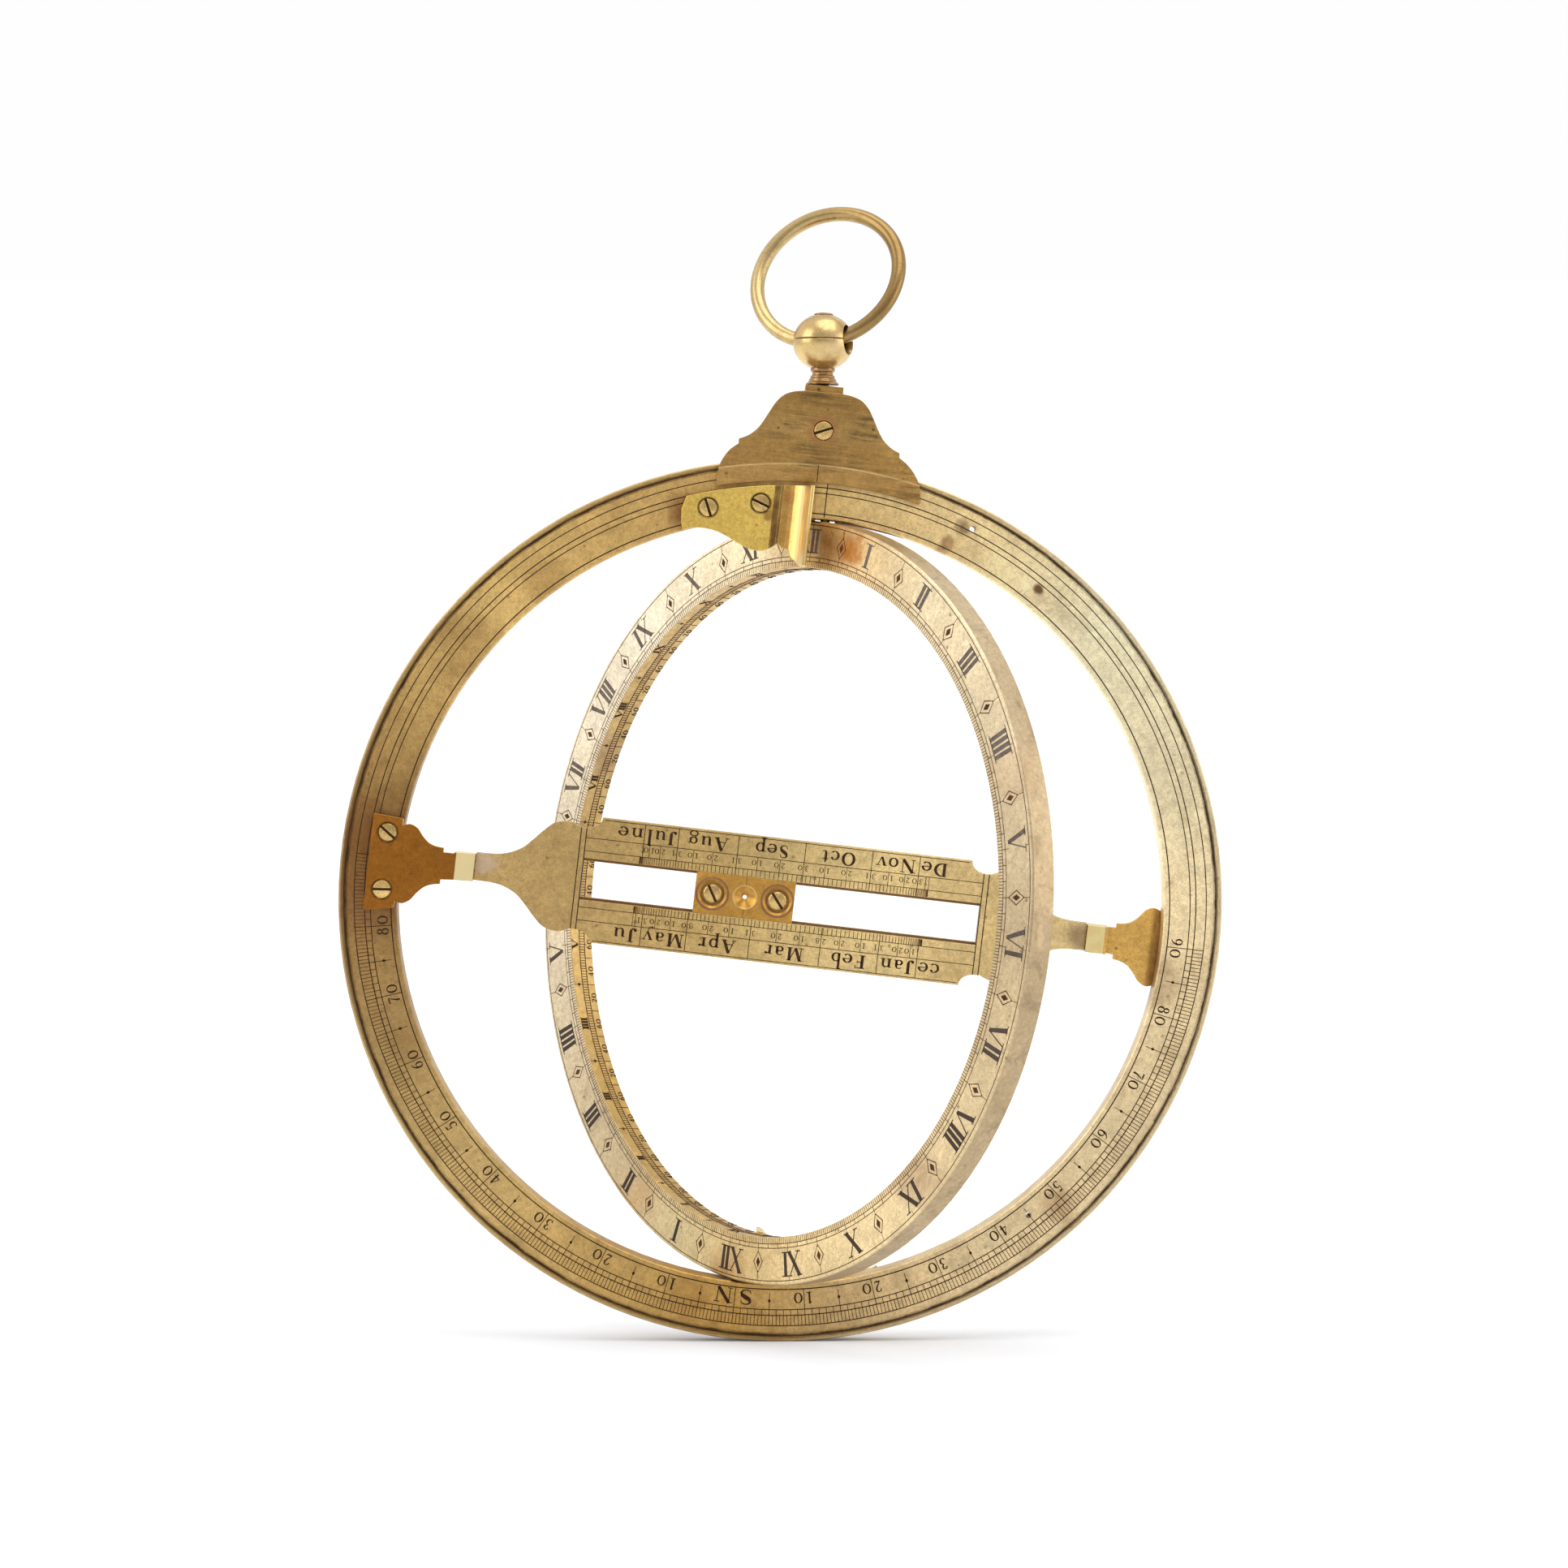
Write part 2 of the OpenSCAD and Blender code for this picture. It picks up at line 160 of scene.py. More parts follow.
XH = 0.58
GLYPH = {
    "I": (0.30, stem(0.15, 0, 1, T, 0.21, 0.21)),
    "V": (0.92, [line(0.14, 1, 0.45, 0.02, T * 1.05, T * 0.9), line(0.79, 1, 0.46, 0.0, H), serif(0.14, 0.98, 0.19), serif(0.79, 0.98, 0.15)]),
    "X": (0.88, [line(0.14, 1, 0.74, 0, T), line(0.74, 1, 0.14, 0, H), serif(0.14, 0.98, 0.15), serif(0.74, 0.98, 0.14), serif(0.14, 0.02, 0.14), serif(0.74, 0.02, 0.15)]),
    "N": (0.98, [line(0.16, 0, 0.16, 1, H), line(0.16, 1, 0.8, 0.0, T), line(0.8, 0, 0.8, 1, H), serif(0.12, 0.98, 0.14), serif(0.16, 0.02, 0.14), serif(0.8, 0.98, 0.15)]),
    "S": (0.66, [[(0.52, 0.74, 0.05), (0.5, 0.88, 0.05), (0.36, 0.97, 0.05), (0.2, 0.95, 0.07), (0.12, 0.82, 0.12), (0.16, 0.66, 0.17), (0.32, 0.52, 0.2), (0.48, 0.38, 0.17), (0.53, 0.22, 0.12), (0.45, 0.07, 0.07), (0.3, 0.03, 0.05), (0.15, 0.09, 0.05), (0.11, 0.26, 0.05)]]),
    "D": (0.84, stem(0.2, 0, 1, T, 0.15, 0.15) + [ell(0.3, 0.5, 0.42, 0.475, 90, -90)]),
    "F": (0.72, stem(0.2, 0, 1) + [line(0.2, 0.975, 0.62, 0.975, H), line(0.62, 0.99, 0.62, 0.78, H), line(0.2, 0.52, 0.5, 0.52, H), line(0.5, 0.42, 0.5, 0.62, H)]),
    "J": (0.52, [line(0.32, 1, 0.32, 0.2, T), [(0.32, 0.22, T), (0.3, 0.08, 0.12), (0.2, -0.03, 0.07), (0.08, -0.01, 0.06)], blob(0.07, 0.06, 0.09), serif(0.32, 0.978, 0.18)]),
    "M": (1.12, [line(0.17, 0, 0.2, 1, H), line(0.2, 1, 0.53, 0.02, T), line(0.53, 0.02, 0.86, 1, H), line(0.88, 1, 0.88, 0, T), serif(0.17, 0.02, 0.14), serif(0.88, 0.02, 0.17), serif(0.17, 0.978, 0.12), serif(0.9, 0.978, 0.14)]),
    "A": (0.96, [line(0.44, 1, 0.14, 0, H), line(0.44, 1.0, 0.78, 0, T), line(0.24, 0.33, 0.64, 0.33, H), serif(0.14, 0.02, 0.14), serif(0.78, 0.02, 0.17)]),
    "O": (0.92, [ell(0.46, 0.5, 0.34, 0.475, 0, 360, n=36)]),
    "a": (0.56, [line(0.4, 0.06, 0.4, 0.42, 0.14), [(0.4, 0.4, 0.14), (0.36, 0.53, 0.08), (0.24, 0.57, 0.05), (0.11, 0.5, 0.06)], ell(0.26, 0.17, 0.155, 0.15, 20, 320, 0.12, 0.05), line(0.4, 0.06, 0.52, 0.03, 0.06)]),
    "b": (0.58, [line(0.14, 0, 0.14, 1.04, 0.14), serif(0.09, 1.02, 0.1), ell(0.29, 0.275, 0.19, 0.265, 150, -150, 0.14)]),
    "c": (0.5, [ell(0.29, 0.285, 0.2, 0.27, 50, 315, 0.14), blob(0.42, 0.45, 0.06)]),
    "e": (0.52, [ell(0.28, 0.285, 0.2, 0.27, 0, 318, 0.14), line(0.09, 0.29, 0.47, 0.3, 0.045)]),
    "g": (0.58, [ell(0.28, 0.34, 0.17, 0.2, 0, 360, 0.12), ell(0.28, -0.1, 0.2, 0.16, 0, 360, 0.09), line(0.18, 0.16, 0.16, 0.06, 0.06), [(0.42, 0.46, 0.05), (0.53, 0.55, 0.08)]]),
    "l": (0.3, [line(0.15, 0, 0.15, 1.05, 0.15), serif(0.15, 0.02, 0.14), serif(0.1, 1.03, 0.09)]),
    "n": (0.66, [line(0.15, 0, 0.15, 0.56, 0.14), serif(0.1, 0.55, 0.08), [(0.15, 0.4, 0.05), (0.26, 0.53, 0.06), (0.4, 0.54, 0.1), (0.48, 0.42, 0.14), (0.48, 0.2, 0.14), (0.48, 0, 0.14)], serif(0.15, 0.02, 0.13), serif(0.5, 0.02, 0.13)]),
    "o": (0.56, [ell(0.28, 0.285, 0.2, 0.27, 0, 360, 0.14)]),
    "p": (0.62, [line(0.15, -0.36, 0.15, 0.56, 0.14), serif(0.15, -0.34, 0.14), serif(0.1, 0.55, 0.08), ell(0.31, 0.285, 0.19, 0.265, 150, -150, 0.14)]),
    "r": (0.46, [line(0.15, 0, 0.15, 0.56, 0.14), serif(0.15, 0.02, 0.13), serif(0.1, 0.55, 0.08), [(0.16, 0.36, 0.05), (0.24, 0.5, 0.06), (0.34, 0.54, 0.07)], blob(0.36, 0.5, 0.065)]),
    "t": (0.42, [[(0.2, 0.8, 0.05), (0.18, 0.6, 0.14), (0.18, 0.2, 0.14), (0.2, 0.07, 0.1), (0.3, 0.03, 0.05), (0.38, 0.09, 0.04)], line(0.04, 0.55, 0.36, 0.55, 0.045)]),
    "u": (0.66, [[(0.15, 0.56, 0.14), (0.15, 0.2, 0.14), (0.18, 0.07, 0.11), (0.28, 0.02, 0.06), (0.4, 0.08, 0.05), (0.48, 0.2, 0.05)], line(0.48, 0.02, 0.48, 0.56, 0.14), serif(0.11, 0.55, 0.08), serif(0.45, 0.55, 0.08), serif(0.53, 0.02, 0.07)]),
    "v": (0.58, [line(0.1, 0.56, 0.28, 0.01, 0.14, 0.12), line(0.48, 0.56, 0.29, 0.0, 0.05), serif(0.1, 0.55, 0.11), serif(0.48, 0.55, 0.1)]),
    "y": (0.58, [line(0.1, 0.56, 0.29, 0.03, 0.14, 0.12), [(0.48, 0.56, 0.05), (0.3, 0.02, 0.05), (0.2, -0.26, 0.05), (0.06, -0.3, 0.06)], blob(0.06, -0.26, 0.05), serif(0.1, 0.55, 0.11), serif(0.48, 0.55, 0.1)]),
    "0": (0.74, [ell(0.37, 0.46, 0.29, 0.42, 0, 360, 0.13, 0.055, 28)]),
    "1": (0.5, [line(0.27, 0, 0.27, 1, 0.13), line(0.27, 0.98, 0.1, 0.84, 0.05), serif(0.27, 0.025, 0.23, 0.055)]),
    "2": (0.64, [[(0.1, 0.72, 0.1), (0.16, 0.9, 0.07), (0.32, 0.97, 0.06), (0.47, 0.88, 0.11), (0.5, 0.7, 0.13), (0.4, 0.48, 0.1), (0.22, 0.24, 0.06), (0.1, 0.06, 0.05)], [(0.08, 0.06, 0.1), (0.25, 0.09, 0.11), (0.42, 0.05, 0.11), (0.56, 0.1, 0.05), (0.57, 0.22, 0.04)]]),
    "3": (0.62, [[(0.12, 0.8, 0.1), (0.2, 0.94, 0.06), (0.34, 0.97, 0.06), (0.46, 0.86, 0.12), (0.45, 0.68, 0.11), (0.3, 0.55, 0.05)], [(0.26, 0.55, 0.05), (0.42, 0.5, 0.08), (0.51, 0.33, 0.13), (0.47, 0.12, 0.12), (0.32, 0.02, 0.06), (0.16, 0.05, 0.07), (0.1, 0.18, 0.1)]]),
    "4": (0.66, [line(0.42, 0.98, 0.06, 0.3, 0.05), line(0.05, 0.29, 0.6, 0.29, 0.07), line(0.42, 0, 0.42, 0.98, 0.12)]),
    "5": (0.62, [line(0.2, 0.96, 0.14, 0.54, 0.05), [(0.2, 0.94, 0.1), (0.36, 0.93, 0.12), (0.5, 0.98, 0.05)], [(0.14, 0.52, 0.05), (0.28, 0.6, 0.06), (0.44, 0.54, 0.1), (0.51, 0.34, 0.13), (0.45, 0.12, 0.11), (0.3, 0.02, 0.06), (0.14, 0.06, 0.08), (0.1, 0.16, 0.1)]]),
    "6": (0.64, [[(0.52, 0.95, 0.05), (0.34, 0.88, 0.07), (0.18, 0.68, 0.11), (0.11, 0.42, 0.13)], ell(0.33, 0.3, 0.21, 0.28, 0, 360, 0.12, 0.05, 24)]),
    "7": (0.6, [[(0.08, 0.8, 0.05), (0.1, 0.93, 0.1), (0.3, 0.9, 0.12), (0.54, 0.96, 0.06)], [(0.54, 0.95, 0.05), (0.4, 0.6, 0.08), (0.3, 0.3, 0.12), (0.28, 0.0, 0.14)]]),
    "8": (0.62, [ell(0.31, 0.75, 0.17, 0.21, 0, 360, 0.11, 0.05, 22), ell(0.31, 0.28, 0.22, 0.26, 0, 360, 0.13, 0.05, 24)]),
    "9": (0.64, [ell(0.31, 0.69, 0.21, 0.27, 0, 360, 0.12, 0.05, 24), [(0.53, 0.6, 0.13), (0.46, 0.32, 0.11), (0.3, 0.1, 0.07), (0.12, 0.04, 0.05)]]),
}


LOWER = 1.17   # lower case is cut large beside the capitals


def width(word, size, gap=0.02):
    return sum(GLYPH[c][0] * (LOWER if c.islower() else 1.0) + gap for c in word) * size - gap * size


def write(ink, word, size, to3, x=0.0, y=0.0, centre=True, sx=1.0, bold=1.0, gap=0.02):
    """Draws a word on a surface; to3 takes local x, y and height."""
    x0 = x - width(word, size, gap) * sx / 2 if centre else x
    for c in word:
        w, strokes = GLYPH[c]
        lc = LOWER if c.islower() else 1.0
        for s in strokes:
            ink.ribbon([(x0 + px * size * sx * lc, y + py * size * lc, pw * size * bold) for px, py, pw in s], to3)
        x0 += (w * lc + gap) * size * sx


# ---------------------------------------------------------------- surfaces
def mer_face(x, y, h, side=-1):
    return (x, side * (MER_Y + h), y)


def polar(a_deg, r0, face, spin=0):
    """Local axes at angle a (clockwise from the top as seen from the front); x clockwise, y outwards."""
    def f(x, y, h):
        r = r0 + y
        a = RAD(a_deg) + x / r0
        return face(r * SIN(a), r * COS(a), h)
    return f


CR, SR = COS(RAD(-OPEN)), SIN(RAD(-OPEN))


def turn(p):
    x, y, z = p
    return (x * CR - y * SR, x * SR + y * CR, z)


def hour_face(x, y, h, side=-1):
    return turn((x, side * (HOUR_H + h), y))


def hour_wall(a_deg):
    """Local x clockwise along the inner wall, local y from the back edge towards the front edge."""
    def f(x, y, h):
        r = HOUR_RI - h
        a = RAD(a_deg) + x / HOUR_RI
        return turn((r * SIN(a), -y, r * COS(a)))
    return f


def ring_line(ink, r, face, w=0.13, a0=0.0, a1=360.0, n=360):
    pts = []
    if abs(a1 - a0) >= 360:
        for i in range(n):
            a = RAD(360.0 * i / n)
            pts.append((r * SIN(a), r * COS(a), w))
        ink.ribbon(pts, face, closed=True)
    else:
        for i in range(n + 1):
            a = RAD(a0 + (a1 - a0) * i / n)
            pts.append((r * SIN(a), r * COS(a), w))
        ink.ribbon(pts, face)


def tick(ink, a_deg, r0, r1, face, w=0.1):
    a = RAD(a_deg)
    ink.ribbon([(r0 * SIN(a), r0 * COS(a), w), (r1 * SIN(a), r1 * COS(a), w)], face)


def diamond(ink, to3, y, hx, hy, w=0.0):
    if w:
        ink.ribbon([(hx, y, w), (0, y + hy, w), (-hx, y, w), (0, y - hy, w)], to3, closed=True)
    else:
        ink.poly([(hx, y), (0, y + hy), (-hx, y), (0, y - hy)], to3)


# ---------------------------------------------------------------- materials
def nodes_of(name):
    m = bpy.data.materials.new(name)
    m.use_nodes = True
    nt = m.node_tree
    for n in list(nt.nodes):
        nt.nodes.remove(n)
    return m, nt


def srgb(r, g, b):
    def f(c):
        c /= 255.0
        return c / 12.92 if c <= 0.04045 else ((c + 0.055) / 1.055) ** 2.4
    return (f(r), f(g), f(b), 1.0)


class NT:
    """Small helper to write node graphs briefly."""

    def __init__(self, nt):
        self.nt = nt

    def new(self, kind, **kw):
        n = self.nt.nodes.new(kind)
        for k, v in kw.items():
            setattr(n, k, v)
        return n

    def link(self, a, b):
        self.nt.links.new(a, b)

    def put(self, sock, v):
        if hasattr(v, "is_linked") or hasattr(v, "links"):
            self.link(v, sock)
        else:
            sock.default_value = v

    def math(self, op, a, b=0.0, c=0.0, clamp=False):
        n = self.new("ShaderNodeMath", operation=op, use_clamp=clamp)
        for s, v in zip(n.inputs, (a, b, c)):
            self.put(s, v)
        return n.outputs[0]

    def noise(self, vec, scale, detail=4.0, rough=0.55, dist=0.0, w=None):
        n = self.new("ShaderNodeTexNoise")
        n.noise_dimensions = "3D"
        self.link(vec, n.inputs["Vector"])
        n.inputs["Scale"].default_value = scale
        n.inputs["Detail"].default_value = detail
        n.inputs["Roughness"].default_value = rough
        n.inputs["Distortion"].default_value = dist
        return n.outputs["Fac"]

    def ramp(self, fac, lo, hi, a=0.0, b=1.0):
        n = self.new("ShaderNodeMapRange", clamp=True)
        n.interpolation_type = "SMOOTHSTEP"
        self.put(n.inputs["Value"], fac)
        n.inputs["From Min"].default_value = lo
        n.inputs["From Max"].default_value = hi
        n.inputs["To Min"].default_value = a
        n.inputs["To Max"].default_value = b
        return n.outputs[0]

    def mix(self, fac, a, b, blend="MIX"):
        n = self.new("ShaderNodeMix", data_type="RGBA", blend_type=blend)
        self.put(n.inputs["Factor"], fac)
        self.put(n.inputs[6], a)
        self.put(n.inputs[7], b)
        return n.outputs[2]

    def times(self, c, f):
        """A colour times a number, for both plain colours and sockets."""
        if isinstance(c, tuple):
            return tuple(min(1.0, v * f) for v in c[:3]) + (1.0,)
        n = self.new("ShaderNodeVectorMath", operation="SCALE")
        self.link(c, n.inputs[0])
        n.inputs["Scale"].default_value = f
        return n.outputs[0]

    def stops(self, fac, table):
        n = self.new("ShaderNodeValToRGB")
        self.link(fac, n.inputs[0])
        cr = n.color_ramp
        cr.interpolation = "LINEAR"
        while len(cr.elements) < len(table):
            cr.elements.new(0.5)
        for e, (pos, c) in zip(cr.elements, table):
            e.position = pos
            e.color = srgb(*c)
        return n.outputs[0]

    def mapped(self, vec, scale=(1, 1, 1), loc=(0, 0, 0), rot=(0, 0, 0)):
        n = self.new("ShaderNodeMapping")
        self.link(vec, n.inputs["Vector"])
        n.inputs["Scale"].default_value = scale
        n.inputs["Location"].default_value = loc
        n.inputs["Rotation"].default_value = rot
        return n.outputs[0]


def brass(name, base, light=None, stain=(120, 82, 40), rough=0.38, metallic=0.9, stain_amt=0.35,
          speck=0.4, brush=0.0, brush_dir=(1, 1, 1), green=0.0, bump=0.25, seed=0.0, edge=0.35,
          spots=(), groove_shade=None, dark_edge=None, blotch=26.0, streak=0.0, painted_shade=0.5,
          around=None, along=None, rings=(), side=None, bands=(), radial=None, recess_shade_and_dirt=None, grain=1.0, smears=()):
    """Aged brass: base colour, mottling, stains, specks, scratches, worn edges lightened with a painted highlight,
    painted shade and dirt in the corners, and painted light on faces turned away from the front.
    """
    m, nt = nodes_of(name)
    k = NT(nt)
    out = k.new("ShaderNodeOutputMaterial")
    bsdf = k.new("ShaderNodeBsdfPrincipled")
    k.link(bsdf.outputs[0], out.inputs[0])
    co = k.new("ShaderNodeTexCoord").outputs["Object"]
    p = k.mapped(co, loc=(seed * 0.37, seed * 0.21, seed * 0.11))
    sep = k.new("ShaderNodeSeparateXYZ")
    k.link(co, sep.inputs[0])
    tone = srgb(*base)
    def rho(spin):
        """Distance from the ring's own axis, for a ring turned about Z, and its sideways coordinate."""
        xl = k.math("ADD", k.math("MULTIPLY", sep.outputs[0], COS(RAD(spin))), k.math("MULTIPLY", sep.outputs[1], SIN(RAD(spin))))
        return xl, k.math("SQRT", k.math("ADD", k.math("MULTIPLY", xl, xl), k.math("MULTIPLY", sep.outputs[2], sep.outputs[2])))

    if around:
        spin, table = around
        xl, _ = rho(spin)
        ang = k.math("ARCTAN2", xl, sep.outputs[2])
        tone = k.stops(k.math("FRACT", k.math("ADD", k.math("MULTIPLY", ang, 1 / (2 * math.pi)), 1.0)), table)
    if along:
        axis, a0, a1, table = along
        tone = k.stops(k.ramp(sep.outputs[axis], a0 * MM, a1 * MM), table)
    big = k.noise(p, blotch, 3.0, 0.55, 0.4)
    mid = k.noise(p, blotch * 5.5, 6.0, 0.62, 0.8)
    fine = k.noise(p, 900.0, 5.0, 0.65)
    col = k.mix(k.ramp(big, 0.36, 0.66), tone, srgb(*light) if light else k.times(tone, 1.28))
    col = k.mix(k.ramp(mid, 0.5, 0.72, 0.0, 0.55), col, k.times(tone, 0.72))
    # cloudy brown tarnish
    st = k.noise(k.mapped(co, loc=(seed + 3.1, 1.7, seed)), blotch * 1.4, 8.0, 0.68, 1.3)
    col = k.mix(k.ramp(st, 0.56, 0.74, 0.0, stain_amt), col, srgb(*stain))
    # small dark specks
    vo = k.new("ShaderNodeTexVoronoi", feature="F1")
    k.link(p, vo.inputs["Vector"])
    vo.inputs["Scale"].default_value = 330.0
    sp = k.ramp(vo.outputs["Distance"], 0.10, 0.20, 1.0, 0.0)
    rnd = k.new("ShaderNodeSeparateColor")
    k.link(vo.outputs["Color"], rnd.inputs[0])
    sp = k.math("MULTIPLY", sp, k.ramp(rnd.outputs[0], 0.80, 0.86))
    sp = k.math("MULTIPLY", sp, speck)
    col = k.mix(sp, col, srgb(70, 48, 26))
    # pinhead pits, thick in some places and absent in others
    v2 = k.new("ShaderNodeTexVoronoi", feature="F1")
    k.link(p, v2.inputs["Vector"])
    v2.inputs["Scale"].default_value = 1150.0
    s2 = k.ramp(v2.outputs["Distance"], 0.16, 0.30, 1.0, 0.0)
    s2 = k.math("MULTIPLY", s2, k.ramp(k.noise(k.mapped(co, loc=(seed, 4.4, 2.0)), 95.0, 5.0, 0.65), 0.50, 0.70, 0.0, 0.85 * speck))
    col = k.mix(s2, col, srgb(82, 54, 28))
    # fine grain in the colour
    tiny = k.noise(p, 2600.0, 3.0, 0.6)
    col = k.mix(k.ramp(fine, 0.36, 0.70, 0.0, 0.42 * grain), col, k.times(tone, 0.5))
    col = k.mix(k.ramp(tiny, 0.45, 0.70, 0.0, 0.50 * grain), col, k.times(tone, 0.45))
    col = k.mix(k.ramp(k.noise(p, 420.0, 4.0, 0.6), 0.52, 0.72, 0.0, 0.30 * grain), col, k.times(tone, 1.5))
    if radial:
        spin, table = radial
        _, r2 = rho(spin)
        for r0, r1, amt, c in table:
            f = k.math("MULTIPLY", k.ramp(r2, (r0 - 0.12) * MM, r0 * MM, 0.0, amt), k.ramp(r2, r1 * MM, (r1 + 0.12) * MM, 1.0, 0.0))
            col = k.mix(k.math("MULTIPLY", f, k.ramp(fine, 0.25, 0.6, 0.75, 1.0)), col, srgb(*c))
            rub = k.noise(k.mapped(co, loc=(seed, r0, 1.0)), 150.0, 8.0, 0.72, 0.6)
            col = k.mix(k.math("MULTIPLY", f, k.ramp(rub, 0.50, 0.66, 0.0, 0.55)), col, srgb(*[v * 0.68 for v in c]))
            rub2 = k.noise(k.mapped(co, loc=(seed + 4, r1, 6.0)), 210.0, 7.0, 0.70, 0.4)
            col = k.mix(k.math("MULTIPLY", f, k.ramp(rub2, 0.54, 0.68, 0.0, 0.55)), col, srgb(*[min(255, v * 1.24 + 10) for v in c]))
    if recess_shade_and_dirt:
        # painted shade and dirt: faces lying just below the top face, such as a screw's slot bottom or the bridge's
        # rebates, darkened
        top, near, far, amt, c, zmax = recess_shade_and_dirt
        f = k.math("SUBTRACT", top * MM, k.math("ABSOLUTE", sep.outputs[1]))
        f = k.math("MULTIPLY", k.ramp(f, near * MM, far * MM, 0.0, amt), k.ramp(k.math("ABSOLUTE", sep.outputs[2]), zmax * MM, (zmax + 0.1) * MM, 1.0, 0.0))
        col = k.mix(f, col, srgb(*c))
    if streak:
        s1 = k.noise(k.mapped(co, scale=(70.0, 60.0, 900.0), loc=(seed, 0, 0)), 1.0, 6.0, 0.7)
        s2 = k.noise(k.mapped(co, scale=(45.0, 60.0, 160.0), loc=(seed + 9, 0, 0)), 1.0, 4.0, 0.6)
        s1 = k.math("MULTIPLY", k.ramp(s1, 0.42, 0.62), k.ramp(s2, 0.50, 0.66))
        col = k.mix(k.math("MULTIPLY", s1, streak), col, srgb(64, 50, 34))
        s4 = k.noise(k.mapped(co, scale=(120.0, 60.0, 2600.0), loc=(seed, 7, 0)), 1.0, 5.0, 0.65)
        col = k.mix(k.ramp(s4, 0.46, 0.66, 0.0, 0.55 * streak), col, k.times(tone, 0.42))
        s3 = k.noise(k.mapped(co, scale=(60.0, 60.0, 1500.0), loc=(seed, 3, 0)), 1.0, 4.0, 0.6)
        col = k.mix(k.ramp(s3, 0.5, 0.75, 0.0, 0.45), col, srgb(190, 148, 82))
    for (x, z, rx, rz, amt) in smears:
        # dirt rubbed along the grain of the plate
        dx = k.math("MULTIPLY", k.math("SUBTRACT", sep.outputs[0], x * MM), 1.0 / (rx * MM))
        dz = k.math("MULTIPLY", k.math("SUBTRACT", sep.outputs[2], z * MM), 1.0 / (rz * MM))
        d = k.math("SQRT", k.math("ADD", k.math("MULTIPLY", dx, dx), k.math("MULTIPLY", dz, dz)))
        sn = k.noise(k.mapped(co, scale=(90.0, 60.0, 1900.0), loc=(seed + x, 1, z)), 1.0, 6.0, 0.7)
        f = k.math("MULTIPLY", k.ramp(d, 0.35, 1.15, amt, 0.0), k.ramp(sn, 0.40, 0.58))
        col = k.mix(f, col, srgb(62, 54, 44))
    if green:
        gv = k.noise(k.mapped(co, loc=(seed + 5.5, 2.2, 7.7)), 120.0, 4.0, 0.6)
        col = k.mix(k.ramp(gv, 0.70, 0.76, 0.0, green), col, srgb(92, 132, 96))
    if groove_shade or dark_edge:
        rr = k.math("SQRT", k.math("ADD", k.math("MULTIPLY", sep.outputs[0], sep.outputs[0]),
                                   k.math("MULTIPLY", sep.outputs[2], sep.outputs[2])))
        wob = k.math("MULTIPLY", k.math("SUBTRACT", mid, 0.5), 0.0008)
        rw = k.math("ADD", rr, wob)
    # painted shade: the band of the outer groove darkened
    if groove_shade:
        g = k.math("MULTIPLY", k.ramp(rw, groove_shade[0] * MM, (groove_shade[0] + 0.3) * MM), k.ramp(rw, (groove_shade[1] - 0.1) * MM, (groove_shade[1] + 0.3) * MM, 1.0, 0.0))
        g = k.math("MULTIPLY", g, k.ramp(mid, 0.3, 0.6, 0.82, 1.0))
        col = k.mix(g, col, srgb(62, 46, 30))
    if dark_edge:
        for r0, r1, amt, c in dark_edge:
            g = k.ramp(rw, r0 * MM, r1 * MM, 0.0, amt)
            col = k.mix(k.math("MULTIPLY", g, k.ramp(big, 0.35, 0.6, 0.35, 1.0)), col, srgb(*c))
    for (x, z, rad, amt, c) in spots:
        dx = k.math("SUBTRACT", sep.outputs[0], x * MM)
        dz = k.math("SUBTRACT", sep.outputs[2], z * MM)
        d = k.math("SQRT", k.math("ADD", k.math("MULTIPLY", dx, dx), k.math("MULTIPLY", dz, dz)))
        d = k.math("ADD", d, k.math("MULTIPLY", k.math("SUBTRACT", mid, 0.5), rad * MM * 1.3))
        f = k.ramp(d, rad * MM * 0.35, rad * MM * 1.05, amt, 0.0)
        f = k.math("MULTIPLY", f, k.ramp(st, 0.35, 0.6, 0.45, 1.0))
        col = k.mix(f, col, srgb(*c))
    for (axis, a0, a1, soft_mm, amt, c) in bands:
        f = k.math("MULTIPLY", k.ramp(sep.outputs[axis], (a0 - soft_mm) * MM, a0 * MM, 0.0, amt), k.ramp(sep.outputs[axis], a1 * MM, (a1 + soft_mm) * MM, 1.0, 0.0))
        f = k.math("MULTIPLY", f, k.ramp(mid, 0.25, 0.6, 0.55, 1.0))
        col = k.mix(f, col, srgb(*c))
    for (x, z, rad, half, amt, c) in rings:
        dx = k.math("SUBTRACT", sep.outputs[0], x * MM)
        dz = k.math("SUBTRACT", sep.outputs[2], z * MM)
        d = k.math("SQRT", k.math("ADD", k.math("MULTIPLY", dx, dx), k.math("MULTIPLY", dz, dz)))
        d = k.math("ABSOLUTE", k.math("SUBTRACT", d, rad * MM))
        f = k.ramp(d, half * MM * 0.4, half * MM, amt, 0.0)
        f = k.math("MULTIPLY", f, k.ramp(mid, 0.3, 0.6, 0.6, 1.0))
        col = k.mix(f, col, srgb(*c))
    if side:
        # painted light: faces turned away from the front get their own paler colour, as if lit from the sides
        gn = k.new("ShaderNodeNewGeometry")
        sn = k.new("ShaderNodeSeparateXYZ")
        k.link(gn.outputs["Normal"], sn.inputs[0])
        f = k.ramp(k.math("ABSOLUTE", sn.outputs[1]), 0.80, 0.97, side[0], 0.0)
        col = k.mix(f, col, srgb(*side[1]))
